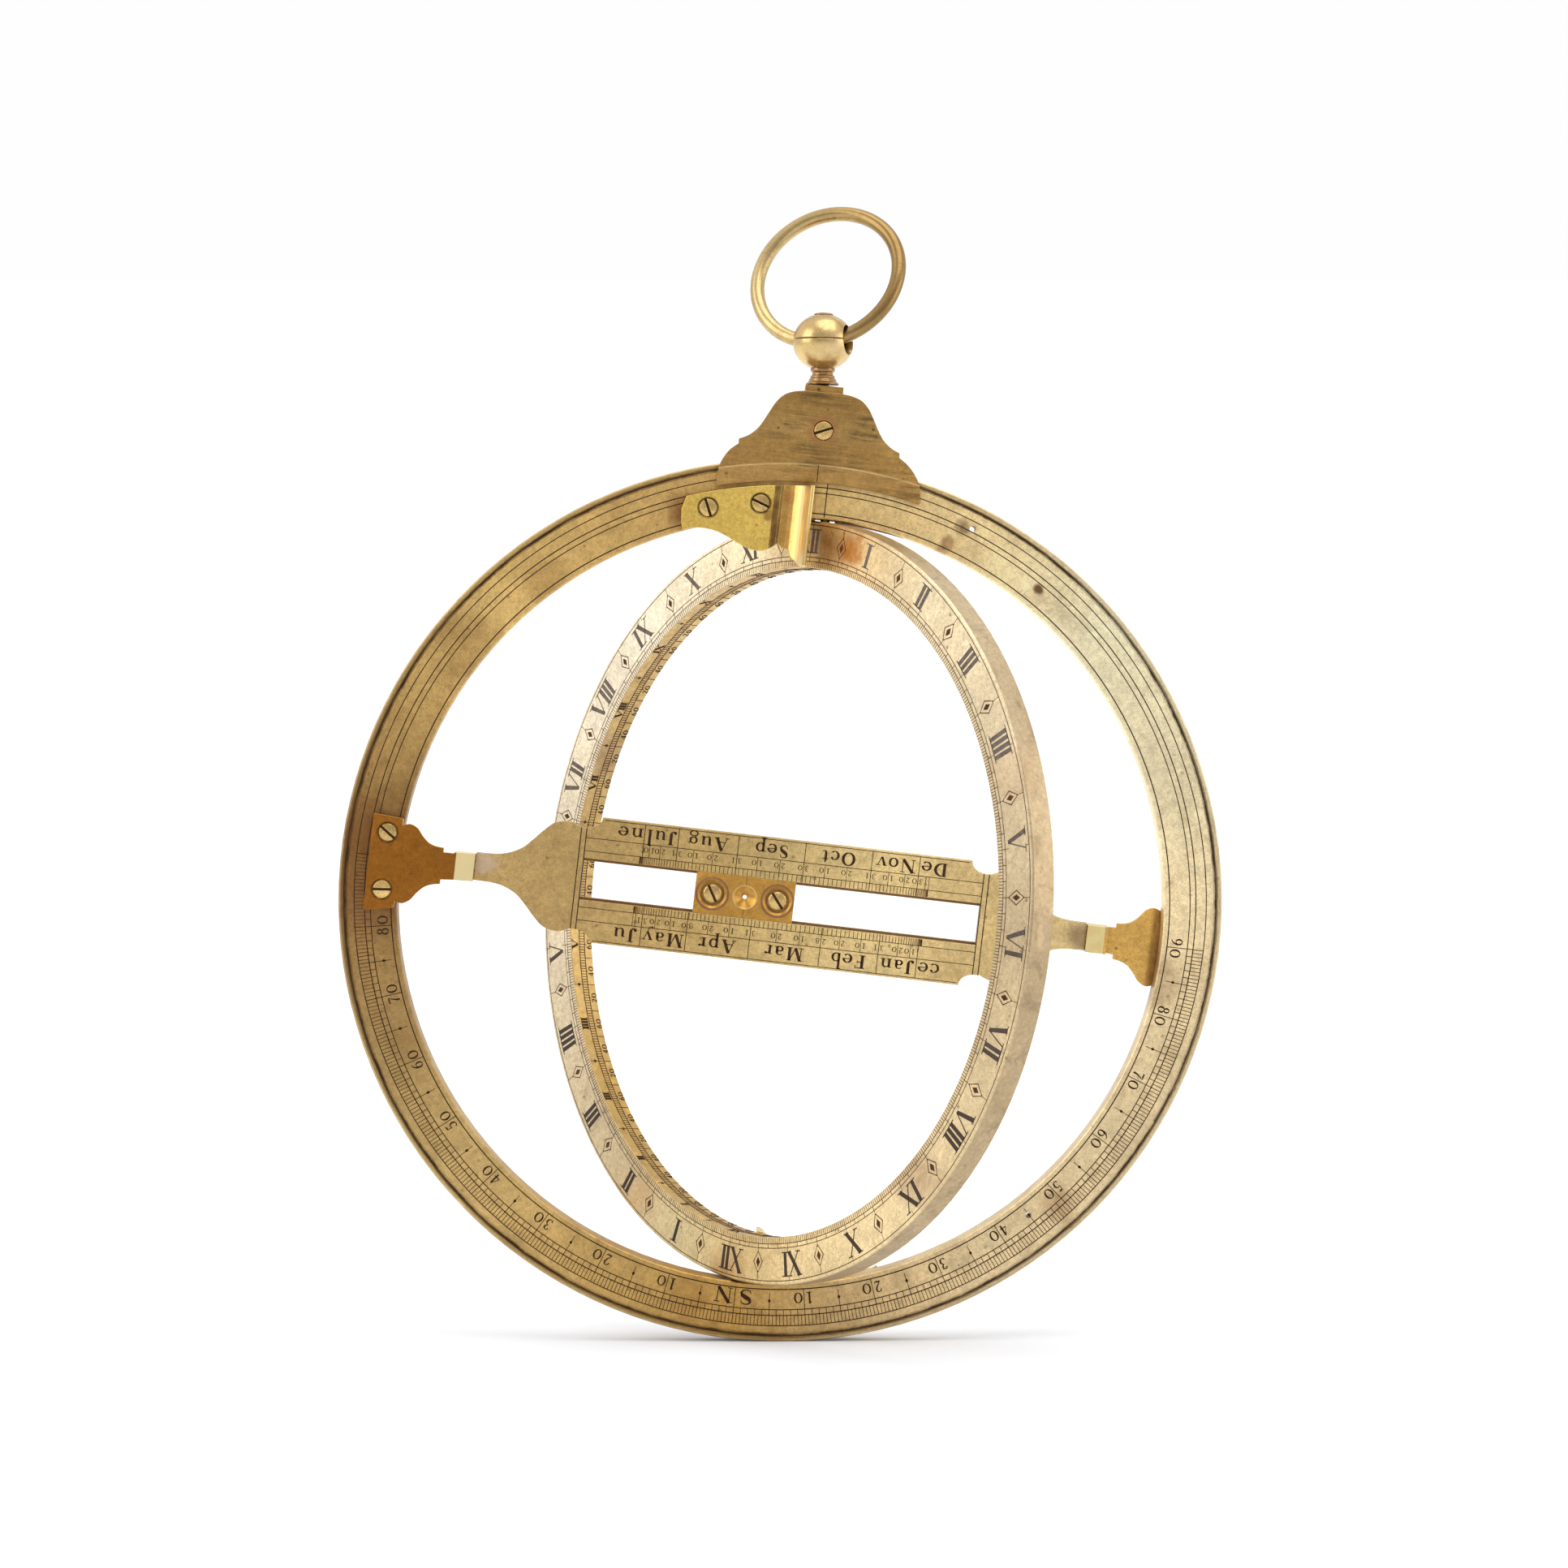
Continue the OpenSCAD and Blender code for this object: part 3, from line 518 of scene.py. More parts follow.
    # painted shade and dirt in the corners: ambient occlusion darkens corners and crevices
    if painted_shade:
        ao = k.new("ShaderNodeAmbientOcclusion", samples=4)
        ao.inputs["Distance"].default_value = 0.0022
        occ = k.ramp(ao.outputs["AO"], 0.35, 0.95, painted_shade, 0.0)
        occ = k.math("MULTIPLY", occ, k.ramp(mid, 0.3, 0.65, 0.5, 1.0))
        col = k.mix(occ, col, srgb(72, 46, 24))
    # rubbed edges: every edge lightened, wear together with a painted highlight
    bev = k.new("ShaderNodeBevel", samples=4)
    bev.inputs["Radius"].default_value = 0.00028
    geo = k.new("ShaderNodeNewGeometry")
    dot = k.new("ShaderNodeVectorMath", operation="DOT_PRODUCT")
    k.link(bev.outputs[0], dot.inputs[0])
    k.link(geo.outputs["Normal"], dot.inputs[1])
    e = k.ramp(dot.outputs["Value"], 0.80, 0.985, edge, 0.0)
    col = k.mix(e, col, k.times(tone, 1.7))
    k.link(col, bsdf.inputs["Base Color"])
    bsdf.inputs["Metallic"].default_value = metallic
    rg = k.math("ADD", rough, k.math("MULTIPLY", k.math("SUBTRACT", mid, 0.5), 0.30))
    rg = k.math("ADD", rg, k.math("MULTIPLY", k.math("SUBTRACT", big, 0.5), 0.18), clamp=True)
    k.link(rg, bsdf.inputs["Roughness"])
    # scratches and brushing
    h = k.math("MULTIPLY", fine, 0.35)
    h = k.math("ADD", h, k.math("MULTIPLY", mid, 0.5))
    if brush:
        bv = k.mapped(co, scale=brush_dir, loc=(seed, 0, 0))
        bn = k.noise(bv, 1.0, 3.0, 0.6)
        h = k.math("ADD", h, k.math("MULTIPLY", bn, brush))
    sc1 = k.noise(k.mapped(co, scale=(40, 900, 900), rot=(0.3, 0.7, 0.2), loc=(seed, 1, 2)), 1.0, 2.0, 0.5)
    sc1 = k.ramp(sc1, 0.66, 0.70)
    sc2 = k.noise(k.mapped(co, scale=(900, 900, 35), rot=(0.1, -0.5, 0.4), loc=(seed, 5, 2)), 1.0, 2.0, 0.5)
    sc2 = k.ramp(sc2, 0.67, 0.71)
    h = k.math("SUBTRACT", h, k.math("MULTIPLY", k.math("ADD", sc1, sc2), 0.35))
    bp = k.new("ShaderNodeBump")
    bp.inputs["Strength"].default_value = bump
    bp.inputs["Distance"].default_value = 0.0001
    k.link(h, bp.inputs["Height"])
    k.link(bev.outputs[0], bp.inputs["Normal"])
    k.link(bp.outputs[0], bsdf.inputs["Normal"])
    return m


def ink_mat(name, dark, light, rough=0.55, low=None):
    m, nt = nodes_of(name)
    k = NT(nt)
    out = k.new("ShaderNodeOutputMaterial")
    bsdf = k.new("ShaderNodeBsdfPrincipled")
    k.link(bsdf.outputs[0], out.inputs[0])
    co = k.new("ShaderNodeTexCoord").outputs["Object"]
    n1 = k.noise(co, 220.0, 6.0, 0.65)
    n2 = k.noise(co, 1600.0, 3.0, 0.6)
    c = k.mix(k.ramp(n1, 0.35, 0.68), srgb(*dark), srgb(*light))
    c = k.mix(k.ramp(n2, 0.45, 0.7, 0.0, 0.4), c, srgb(*[x * 1.35 for x in light]))
    if low:
        sz = k.new("ShaderNodeSeparateXYZ")
        k.link(co, sz.inputs[0])
        c = k.mix(k.ramp(sz.outputs[2], low[0] * MM, low[1] * MM, 1.0, 0.0), c, srgb(*low[2]))
    k.link(c, bsdf.inputs["Base Color"])
    bsdf.inputs["Roughness"].default_value = rough
    bsdf.inputs["Metallic"].default_value = 0.0
    bsdf.inputs["Specular IOR Level"].default_value = 0.12
    bp = k.new("ShaderNodeBump")
    bp.inputs["Strength"].default_value = 0.3
    bp.inputs["Distance"].default_value = 0.00005
    k.link(n2, bp.inputs["Height"])
    k.link(bp.outputs[0], bsdf.inputs["Normal"])
    return m


cu_lo, cu_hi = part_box("cursor_front_plate")
CUR_X = cu_lo[0] / MM + 13.1
M = {}
M["meridian"] = brass("brass_meridian", (190, 160, 106), stain=(136, 92, 48), stain_amt=0.40, rough=0.42, green=0.5,
                      # the groove band on the next line is painted shade in the meridian's outer groove
                      groove_shade=(112.5, 113.3), dark_edge=[(110.8, 114.6, 0.40, (104, 76, 44))], seed=1.0, bump=0.35,
                      around=(0.0, [(0.0, (216, 182, 118)), (0.06, (246, 218, 160)), (0.12, (255, 242, 200)), (0.25, (230, 206, 160)), (0.40, (220, 196, 152)), (0.5, (176, 138, 74)),
                                    (0.62, (202, 170, 110)), (0.75, (128, 92, 48)), (0.86, (218, 182, 114)), (0.96, (208, 168, 102)), (1.0, (216, 182, 118))]),
                      # the pale radial band on the outer lip is a painted highlight
                      radial=(0.0, [(114.0, 114.8, 0.55, (236, 214, 166))]),
                      spots=[(-104, 6, 13, 0.6, (116, 70, 40)), (-104, -12, 12, 0.6, (120, 74, 48)), (-88, 56, 12, 0.45, (128, 86, 44)),
                             (-37, 98, 5.5, 0.85, (118, 60, 28)), (-24, 106, 5, 0.6, (128, 76, 44)), (-6, 108, 4, 0.5, (140, 92, 58)), (35.5, 101.6, 3.2, 0.95, (92, 66, 42)), (32.2, 97.4, 2.8, 0.8, (148, 96, 58)), (30.2, 95.0, 2.2, 0.6, (140, 92, 56)), (99, -9, 9, 0.55, (120, 80, 40)),
                             (56.7, 88.3, 1.9, 0.95, (104, 68, 40)), (-70, 76, 9, 0.4, (140, 98, 52)), (-12, -104, 7, 0.5, (140, 96, 46)),
                             (80, -70, 6, 0.35, (140, 100, 56)), (-92, -48, 7, 0.35, (130, 94, 52))])
M["hour"] = brass("brass_hour_ring", (214, 192, 150), stain=(170, 118, 64), stain_amt=0.4, rough=0.40, seed=2.0,
                  around=(-OPEN, [(0.0, (214, 180, 120)), (0.08, (228, 211, 175)), (0.14, (222, 204, 168)), (0.25, (186, 165, 130)), (0.38, (242, 217, 168)), (0.5, (216, 193, 141)),
                                (0.62, (190, 170, 135)), (0.75, (222, 206, 176)), (0.88, (250, 236, 208)), (0.96, (246, 226, 186)), (1.0, (214, 180, 120))]),
                  radial=(-OPEN, [(86.4, 86.85, 0.85, (182, 146, 76)), (98.98, 99.4, 0.7, (166, 142, 108))]),
                  speck=0.6, bump=0.3, spots=[(6.0, 92.5, 6.0, 0.95, (178, 108, 26)), (-4, 94, 6, 0.4, (150, 110, 84)), (-3, -95, 6, 0.35, (170, 116, 60)), (-30, -86, 9, 0.35, (176, 124, 70)),
                                  (40, -60, 9, 0.45, (150, 110, 84)), (-50, 30, 8, 0.5, (140, 112, 96)), (-56, -8, 7, 0.35, (150, 116, 92)),
                                  (50, 42, 8, 0.3, (170, 124, 84))])
M["bridge"] = brass("brass_bridge", (184, 154, 104), stain=(126, 88, 48), stain_amt=0.35, rough=0.4, seed=3.0, speck=0.5, bump=0.25,
                    # the next line paints shade and tarnish into the rebates along the bridge's slot
                    recess_shade_and_dirt=(BR_Y, 0.1, 0.5, 0.85, (106, 64, 34), 5.6),
                    along=(0, -80, 80, [(0.0, (188, 156, 100)), (0.35, (188, 158, 101)), (0.75, (224, 197, 138)), (1.0, (228, 200, 141))]),
                    spots=[(79, 0, 6, 0.6, (104, 74, 60)), (-77.5, 1, 4, 0.6, (202, 178, 158)), (83, 0, 3.5, 0.6, (70, 48, 34))])
M["cursor"] = brass("brass_cursor", (195, 146, 68), stain=(140, 92, 36), stain_amt=0.4, rough=0.36, seed=4.0, speck=0.25,
                    painted_shade=0.7, rings=[(CUR_X + dx, 0, r, h, a, c) for dx in (-8.5, 8.5) for r, h, a, c in ((4.1, 0.42, 0.75, (108, 76, 74)), (2.85, 0.40, 0.8, (80, 50, 36)))]
                    + [(CUR_X, 0, 3.05, 0.25, 0.5, (226, 196, 136))])
# the side colour on the next line is painted light: faces turned away from the front painted pale cream
M["bracket_l"] = brass("brass_bracket_left", (152, 96, 32), stain=(128, 74, 22), stain_amt=0.35, rough=0.36, seed=5.0, side=(1.0, (238, 226, 172)),
                       rings=[(-102.95, 6.4, 2.6, 0.32, 0.85, (50, 30, 14)), (-102.85, -8.4, 2.6, 0.32, 0.85, (50, 30, 14))],
                       brush=0.5, brush_dir=(20, 60, 900), edge=0.6)
M["bracket_r"] = brass("brass_bracket_right", (216, 170, 90), stain=(146, 92, 40), stain_amt=0.4, rough=0.34, seed=6.0, speck=0.7,
                       # the side colour below is painted light on faces turned away from the front
                       side=(0.6, (226, 200, 138)),
                       rings=[(102.95, -6.4, 2.6, 0.32, 0.8, (60, 36, 18)), (102.85, 8.4, 2.6, 0.32, 0.8, (60, 36, 18))],
                       bands=[(0, 74.0, 84.4, 0.3, 0.9, (224, 208, 148)), (0, 98.0, 100.9, 1.4, 0.6, (96, 60, 32))])
M["stop"] = brass("brass_stop", (234, 193, 98), stain=(146, 88, 36), stain_amt=0.35, rough=0.3, seed=7.0,
                  brush=0.6, brush_dir=(900, 60, 16), spots=[(-14.6, 99, 2.2, 0.7, (120, 64, 34)), (-9.8, 104, 2.4, 0.8, (140, 74, 30)), (-13.5, 102, 2.0, 0.6, (130, 70, 34))],
                  rings=[(-30.45, 99.1, 2.6, 0.3, 0.85, (60, 36, 18)), (-17.1, 101.8, 2.6, 0.3, 0.85, (60, 36, 18))],
                  # the side colour below is painted light on faces turned away from the front
                  side=(0.55, (214, 188, 130)),
                  # the pale third band is a painted highlight along the fin
                  bands=[(0, -13.7, -11.8, 0.35, 0.9, (104, 62, 44)), (0, -11.3, -8.9, 0.6, 0.7, (158, 98, 56)), (0, -6.8, -4.4, 0.4, 0.8, (232, 212, 166))])
M["cheek"] = brass("brass_cheek", (158, 124, 70), stain=(120, 90, 50), stain_amt=0.35, rough=0.42, seed=8.0, streak=0.5,
                   smears=((8.0, 121.8, 6.5, 1.2, 0.9), (-10.7, 122.8, 4.0, 1.1, 0.75), (-3.5, 130.2, 9.5, 2.0, 0.6), (7.8, 125.4, 3.5, 2.2, 0.45), (-15, 119.5, 5, 1.2, 0.4), (-2, 116.5, 12, 1.0, 0.35)), speck=0.9,
                   bump=0.4, spots=[(-3.2, 122.2, 4.6, 0.75, (168, 106, 72))], radial=(0.0, [(108.6, 113.1, 0.25, (150, 120, 72)), (113.15, 113.45, 0.6, (228, 198, 138))]),
                   along=(2, 108, 134, [(0.0, (178, 138, 78)), (0.30, (182, 142, 80)), (0.55, (190, 152, 90)), (1.0, (173, 133, 73))]))
bl_lo, bl_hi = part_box("ball_lower")
bu_lo, bu_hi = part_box("ball_upper")
M["ball"] = brass("brass_ball", (198, 168, 112), light=(212, 184, 134), stain=(170, 118, 44), stain_amt=0.5, rough=0.27, seed=9.0,
                  along=(2, bl_lo[2] / MM, bu_hi[2] / MM, [(0.0, (222, 192, 128)), (0.5, (204, 174, 116)), (1.0, (186, 156, 102))]),
                  blotch=70.0, speck=0.6, painted_shade=0.9, grain=0.35)
M["neck"] = brass("brass_neck", (160, 126, 84), stain=(112, 68, 38), stain_amt=0.55, rough=0.2, grain=0.3, seed=10.0, blotch=70.0, painted_shade=0.9)
sr_lo, sr_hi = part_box("suspension_ring")
M["ring"] = brass("brass_suspension", (176, 150, 100), along=(0, sr_lo[0] / MM, sr_hi[0] / MM, [(0.0, (184, 160, 112)), (0.55, (174, 146, 94)), (1.0, (138, 110, 66))]), stain=(140, 100, 50), stain_amt=0.5, rough=0.25, grain=0.35, seed=11.0, blotch=45.0, speck=0.4)
M["screw"] = brass("brass_screw", (202, 168, 104), stain=(110, 72, 36), stain_amt=0.4, rough=0.26, seed=12.0, blotch=90.0, painted_shade=0.9)
for key, node in (("screw_ring", "front_stop_screws"), ("screw_cursor", "cursor_screws"), ("screw_slider", "slider_screw")):
    lo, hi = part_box(node)
    # the bottoms of the screw slots get painted shade and dirt
    M[key] = brass("brass_" + key, (208, 174, 110), stain=(118, 78, 40), stain_amt=0.4, rough=0.26, seed=13.0, blotch=90.0, painted_shade=0.9, recess_shade_and_dirt=(-lo[1] / MM, 0.45, 0.62, 0.95, (34, 22, 12), 900))
M["ink"] = ink_mat("engraving_dark", (40, 26, 14), (66, 44, 26), 0.75)
M["ink_line"] = ink_mat("engraving_fine", (56, 34, 18), (88, 56, 30), 0.75)
# painted shade: colours of the dark lining in the hinge gap
M["painted_shade"] = ink_mat("hinge_painted_shade", (74, 50, 28), (128, 94, 54), 0.7)
M["ink_soft"] = ink_mat("engraving_line", (66, 42, 20), (98, 66, 34), 0.75)
M["ink_hour"] = ink_mat("engraving_hours", (92, 80, 72), (112, 100, 90), 0.65, low=(-60, 60, (66, 53, 46)))

NODE_MAT = {
    "meridian_ring": "meridian", "hour_ring": "hour", "bridge": "bridge",
    "hour_ring_pivot_top": "screw", "hour_ring_pivot_bottom": "screw",
    "bridge_bracket_left": "bracket_l", "bridge_bracket_right": "bracket_r",
    "bridge_bracket_left_screws": "screw_ring", "bridge_bracket_right_screws": "screw_ring",
    "front_stop": "stop", "rear_stop": "stop", "front_stop_screws": "screw_ring", "rear_stop_screws": "screw_ring",
    "cursor_front_plate": "cursor", "cursor_back_plate": "cursor", "cursor_screws": "screw_cursor",
    "slider_front_cheek": "cheek", "slider_rear_cheek": "cheek", "slider_spacer": "cheek", "slider_screw": "screw_slider",
    "swivel_neck": "neck", "ball_lower": "ball", "ball_upper": "ball", "ball_rivet": "neck",
    "suspension_ring": "ring"}
for name, ob in frame["nodes"].items():
    mat = M[NODE_MAT[name]]
    if not ob.material_slots:
        ob.data.materials.append(mat)
    for s in ob.material_slots:
        s.material = mat

# ---------------------------------------------------------------- meridian scale
ink, soft = Ink(), Ink(0.008)
for side in (-1, 1):
    face = (lambda x, y, h, side=side: mer_face(x, y, h, side))
    for r, w in ((100.9, 0.30), (106.2, 0.25), (107.7, 0.28), (110.4, 0.25)):
        ring_line(ink, r, face, w)
face = mer_face
for q in range(-180, 181):
    tick(soft, 180 + q / 2.0, 107.75, 110.35, face, 0.19)
for d in range(-90, 91):
    tick(soft, 180 + d, 106.25, 107.65, face, 0.20)
for d in range(-85, 86, 5):
    a = 180 - d
    if d % 10:
        tick(ink, a, 101.9, 110.4, face, 0.17)
        diamond(ink, polar(a, 103.9, face), 0.0, 0.40, 0.65)
for d in range(-90, 91, 10):
    a = 180 - d
    tick(ink, a, 100.9, 110.4, face, 0.20)
    word = str(abs(d))
    if d == 0:
        write(ink, "S", 4.0, polar(a, 103.25, face), -2.8, -2.0, sx=1.5, bold=1.45)
        write(ink, "N", 4.0, polar(a, 103.25, face), 3.0, -2.0, sx=1.22, bold=1.25)
    else:
        to3 = polar(a, 103.3, face)
        write(ink, word[0], 3.05, to3, -1.5, -1.5, bold=1.25)
        write(ink, word[1], 3.05, to3, 1.5, -1.5, bold=1.25)
tick(ink, -0.25, 100.0, 108.9, face, 0.26)
ink.make("meridian_engraving", "meridian", M["ink"])
soft.make("meridian_divisions", "meridian", M["ink_soft"])

# the carriage's index, on the bevelled lower band of its front cheek
cs_lo, cs_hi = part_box("slider_spacer")
CHEEK_Y = -cs_lo[1] / MM
index = Ink(0.012)


def cheek_band(x, z, h):
    t = RAD(-1.5)
    y = -(CHEEK_Y - 1.1 * (113.3 - z) / 4.45) - h
    return (x * COS(t) + z * SIN(t), y, -x * SIN(t) + z * COS(t))


index.ribbon([(-0.51, 108.95, 0.22), (-0.51, 113.2, 0.22)], cheek_band)
index.make("cheek_index", "carriage", M["ink_line"])

# painted shade: a dark lining beside the upper hinge pin, on the inner wall of the meridian ring, darkening the gap to
# the hour ring
gap = Ink()
for top in (1,):
    for side in (1, -1):
        base, n = len(gap.v), 40
        for i in range(n + 1):
            a = RAD(1.5 + (12.0 - 1.5) * i / n)
            hy = 3.62 * (1.0 - (i / n) ** 2.2) + 0.12 + 0.10 * SIN(i * 1.7) * (i / n) * (1.0 - i / n)
            ri = 99.15 + 0.24 * (i / n) ** 1.6 + 0.02 * SIN(i * 2.3) * (i / n)
            for r, y in ((ri, -hy), (ri, hy), (99.49, hy), (99.49, -hy)):
                gap.v.append((side * r * SIN(a), y, top * r * COS(a)))
        for i in range(n):
            c = base + 4 * i
            gap.f += [(c + j, c + (j + 1) % 4, c + 4 + (j + 1) % 4, c + 4 + j) for j in range(4)]
        gap.f += [(base, base + 3, base + 2, base + 1), (base + 4 * n, base + 4 * n + 1, base + 4 * n + 2, base + 4 * n + 3)]
gap.make("hinge_gap_painted_shade", "meridian", M["painted_shade"])

# ---------------------------------------------------------------- hour ring
big, ink, soft = Ink(), Ink(), Ink(0.008)
wall, wink, wsoft = Ink(0.075, 0.1), Ink(0.072, 0.1), Ink(0.068, 0.1)
ROMAN = ["XII", "I", "II", "III", "IIII", "V", "VI", "VII", "VIII", "IX", "X", "XI"]
R0 = HOUR_RI
for side in (-1, 1):
    face = (lambda x, y, h, side=side: hour_face(x, y, h, side))
    for r, w in ((R0 + 1.7, 0.20), (R0 + 2.8, 0.20), (R0 + 11.15, 0.22)):
        ring_line(ink, r, face, w)
face = hour_face
for q in range(720):
    tick(soft, q * 0.5, R0 + 0.15, R0 + 1.7, face, 0.18)
for q in range(144):
    tick(ink, q * 2.5, R0 + 1.7, R0 + 2.8, face, 0.18)
for h in range(24):
    a = 15.0 * h
    tick(ink, a, R0 + 2.8, R0 + 4.1, face, 0.14)
    tick(ink, a, R0 + 10.0, R0 + 11.15, face, 0.12)
    to3 = polar(a, R0 + 7.0, face)
    word = ROMAN[h % 12]
    write(big, word, 6.3, to3, -1.45, -3.15, bold=1.08, gap=-0.035)
    b = a + 7.5
    to3 = polar(b, R0 + 6.4, face)
    diamond(ink, to3, 0.0, 1.75, 2.75, 0.34)
    diamond(ink, to3, 0.0, 0.78, 1.35)
    tick(ink, b, R0 + 2.8, R0 + 4.1, face, 0.16)
    tick(ink, b, R0 + 8.7, R0 + 11.15, face, 0.16)
# inner wall: small hours by the front edge, a ladder, and minutes by the back edge
for y in (HOUR_H - 2.9, HOUR_H - 4.65):
    for part in range(4):
        wink.ribbon([(HOUR_RI * RAD(i), y, 0.18) for i in range(0, 91, 2)], hour_wall(90 * part))
for q in range(720):
    wsoft.ribbon([(0, HOUR_H - 2.92, 0.17), (0, HOUR_H - 4.62, 0.17)], hour_wall(q * 0.5))
for q in range(144):
    wink.ribbon([(0, HOUR_H - 4.65, 0.16), (0, HOUR_H - (7.05 if q % 2 else 5.2), 0.16)], hour_wall(q * 2.5))
for h in range(24):
    a = 15.0 * h
    write(wall, ROMAN[h % 12], 2.1, hour_wall(a), 0, HOUR_H - 2.45, sx=1.45, bold=1.7, gap=-0.03)
    wink.ribbon([(0, HOUR_H - 2.9, 0.12), (0, HOUR_H - 0.15, 0.12)], hour_wall(a + 7.5))
    diamond(wink, hour_wall(a + 7.5), HOUR_H - 1.65, 0.5, 0.62)
    for dm, word in ((5.0, "20"), (10.0, "40"), (15.0, "60")):
        to3 = hour_wall(a + dm)
        write(wall, word[0], 1.75, to3, -0.75, HOUR_H - 7.05, bold=1.45)
        write(wall, word[1], 1.75, to3, 0.75, HOUR_H - 7.05, bold=1.45)
big.make("hour_numerals", "hour_ring", M["ink_hour"])
wall.make("hour_wall_numerals", "hour_ring", M["ink"])
wink.make("hour_wall_engraving", "hour_ring", M["ink_line"])
wsoft.make("hour_wall_divisions", "hour_ring", M["ink_soft"])
ink.make("hour_engraving", "hour_ring", M["ink_line"])
soft.make("hour_divisions", "hour_ring", M["ink_soft"])

# ---------------------------------------------------------------- calendar on the bridge
DAYS = [31, 28, 31, 30, 31, 30, 31, 31, 30, 31, 30, 31]
NAMES = ["Jan", "Feb", "Mar", "Apr", "May", "Jun", "Jul", "Aug", "Sep", "Oct", "Nov", "Dec"]


def declination(day):
    g = 2 * math.pi * (day - 2.5) / 365.25
    lam = g + RAD(1.915) * SIN(g) + RAD(0.02) * SIN(2 * g) + RAD(282.9)
    return math.asin(SIN(RAD(23.45)) * SIN(lam))


def cal_x(day):
    return -HOUR_RI * math.tan(declination(day))


def br_face(x, y, h, side=-1):
    return (x, side * (BR_Y + h), y)


def upside(x0, z0):
    """Letters stand on their heads, as on the real scale: local x runs to -X, local y to -Z."""
    def f(x, y, h):
        return br_face(x0 - x, z0 - y, h)
    return f


ink, soft = Ink(), Ink(0.008)


def bar(k, x0, z0, x1, z1, w, f=br_face):
    k.ribbon([(x0, z0, w), (x1, z1, w)], f)


END_L, END_R = -52.0, 51.6
for side in (-1, 1):
    f = (lambda x, y, h, side=side: br_face(x, y, h, side))
    for s in (1, -1):
        bar(ink, END_L, 7.35 * s, END_R, 7.35 * s, 0.17, f)
        bar(ink, END_L, 10.75 * s, END_R, 10.75 * s, 0.18, f)
        bar(ink, -47.6, 15.75 * s, 47.6, 15.75 * s, 0.18, f)
    for x in (-53.5, -52.1, 51.7, 53.1):
        bar(ink, x, -13.2, x, 13.2, 0.26, f)
start = [0]
for d in DAYS:
    start.append(start[-1] + d)
JUN, DEC = 172, 355
for mth in range(12):
    for dd in range(2, DAYS[mth] + 1, 2):
        day = start[mth] + dd
        s = 1 if JUN <= day < DEC else -1
        x = cal_x(day)
        bar(soft, x, 5.55 * s, x, 7.3 * s, 0.17)
for mth in range(12):
    for dd in (10, 20, DAYS[mth]):
        day = start[mth] + dd
        s = 1 if JUN <= day < DEC else -1
        x = cal_x(day + 0.5 if dd == DAYS[mth] else day)
        last = dd == DAYS[mth]
        near = abs(x) > 35.4
        bar(ink, x, 5.5 * s if last else 7.35 * s, x, (15.7 if last else 10.7) * s, 0.19 if last else 0.15)
        word = str(dd)
        base = 9.95 if s > 0 else -8.35
        if not near:
            write(ink, word[0], 1.45, upside(x, base), -0.86, 0, sx=1.15, bold=1.25)
            write(ink, word[1], 1.45, upside(x, base), 0.86, 0, sx=1.15, bold=1.25)
        elif abs(cal_x(day) - cal_x(day - 6)) > 0.45:
            write(ink, word[0], 0.95, upside(x, base + 0.35), 0.0, 0.0, bold=1.1)
            write(ink, word[1], 0.95, upside(x, base - 0.80), 0.0, 0.0, bold=1.1)
    if NAMES[mth] == "Jun":
        xb = cal_x(start[mth] + DAYS[mth] + 0.5)
        write(ink, "ne", 3.4, upside(xb - 3.6, 14.65), bold=1.35, sx=1.3, gap=0.09)
        xa = cal_x(start[mth] + 0.5)
        write(ink, "Ju", 3.4, upside(xa - 4.2, -11.55), bold=1.35, sx=1.3, gap=0.09)
        continue
    if NAMES[mth] == "Dec":
        xa = cal_x(start[mth] + 0.5)
        write(ink, "De", 3.4, upside(xa + 4.0, 14.65), bold=1.35, sx=1.3, gap=0.09)
        xb = cal_x(start[0] + 0.5)
        write(ink, "ce", 3.4, upside(xb + 3.4, -11.55), bold=1.35, sx=1.3, gap=0.09)
        continue
    xa, xb = cal_x(start[mth] + 0.5), cal_x(start[mth] + DAYS[mth] + 0.5)
    s = 1 if JUN <= start[mth] + 15 < DEC else -1
    wide = abs(xb - xa)
    size = 3.4
    sx = min(1.22, (wide - 0.7) / width(NAMES[mth], size, 0.09))
    write(ink, NAMES[mth], size, upside((xa + xb) / 2, 14.65 if s > 0 else -11.55), sx=sx, bold=1.35, gap=0.09)
# generic declination scale on the back: degrees north and south of the equator
for d in range(-23, 24):
    x = -HOUR_RI * math.tan(RAD(d))
    f = (lambda x_, y_, h_: br_face(x_, y_, h_, 1))
    for s in (1, -1):
        bar(soft, x, 5.6 * s, x, (7.3 if d % 5 else 10.7) * s, 0.1, f)
for d in (-20, -10, 0, 10, 20):
    x = -HOUR_RI * math.tan(RAD(d))
    for z0 in (8.4, -9.8):
        write(ink, str(abs(d)), 1.5, (lambda u, v, h, x=x, z0=z0: br_face(x - 1.6 - u, z0 + v, h, 1)), 0, 0)
ink.make("bridge_engraving", "bridge", M["ink"])
soft.make("bridge_divisions", "bridge", M["ink_soft"])

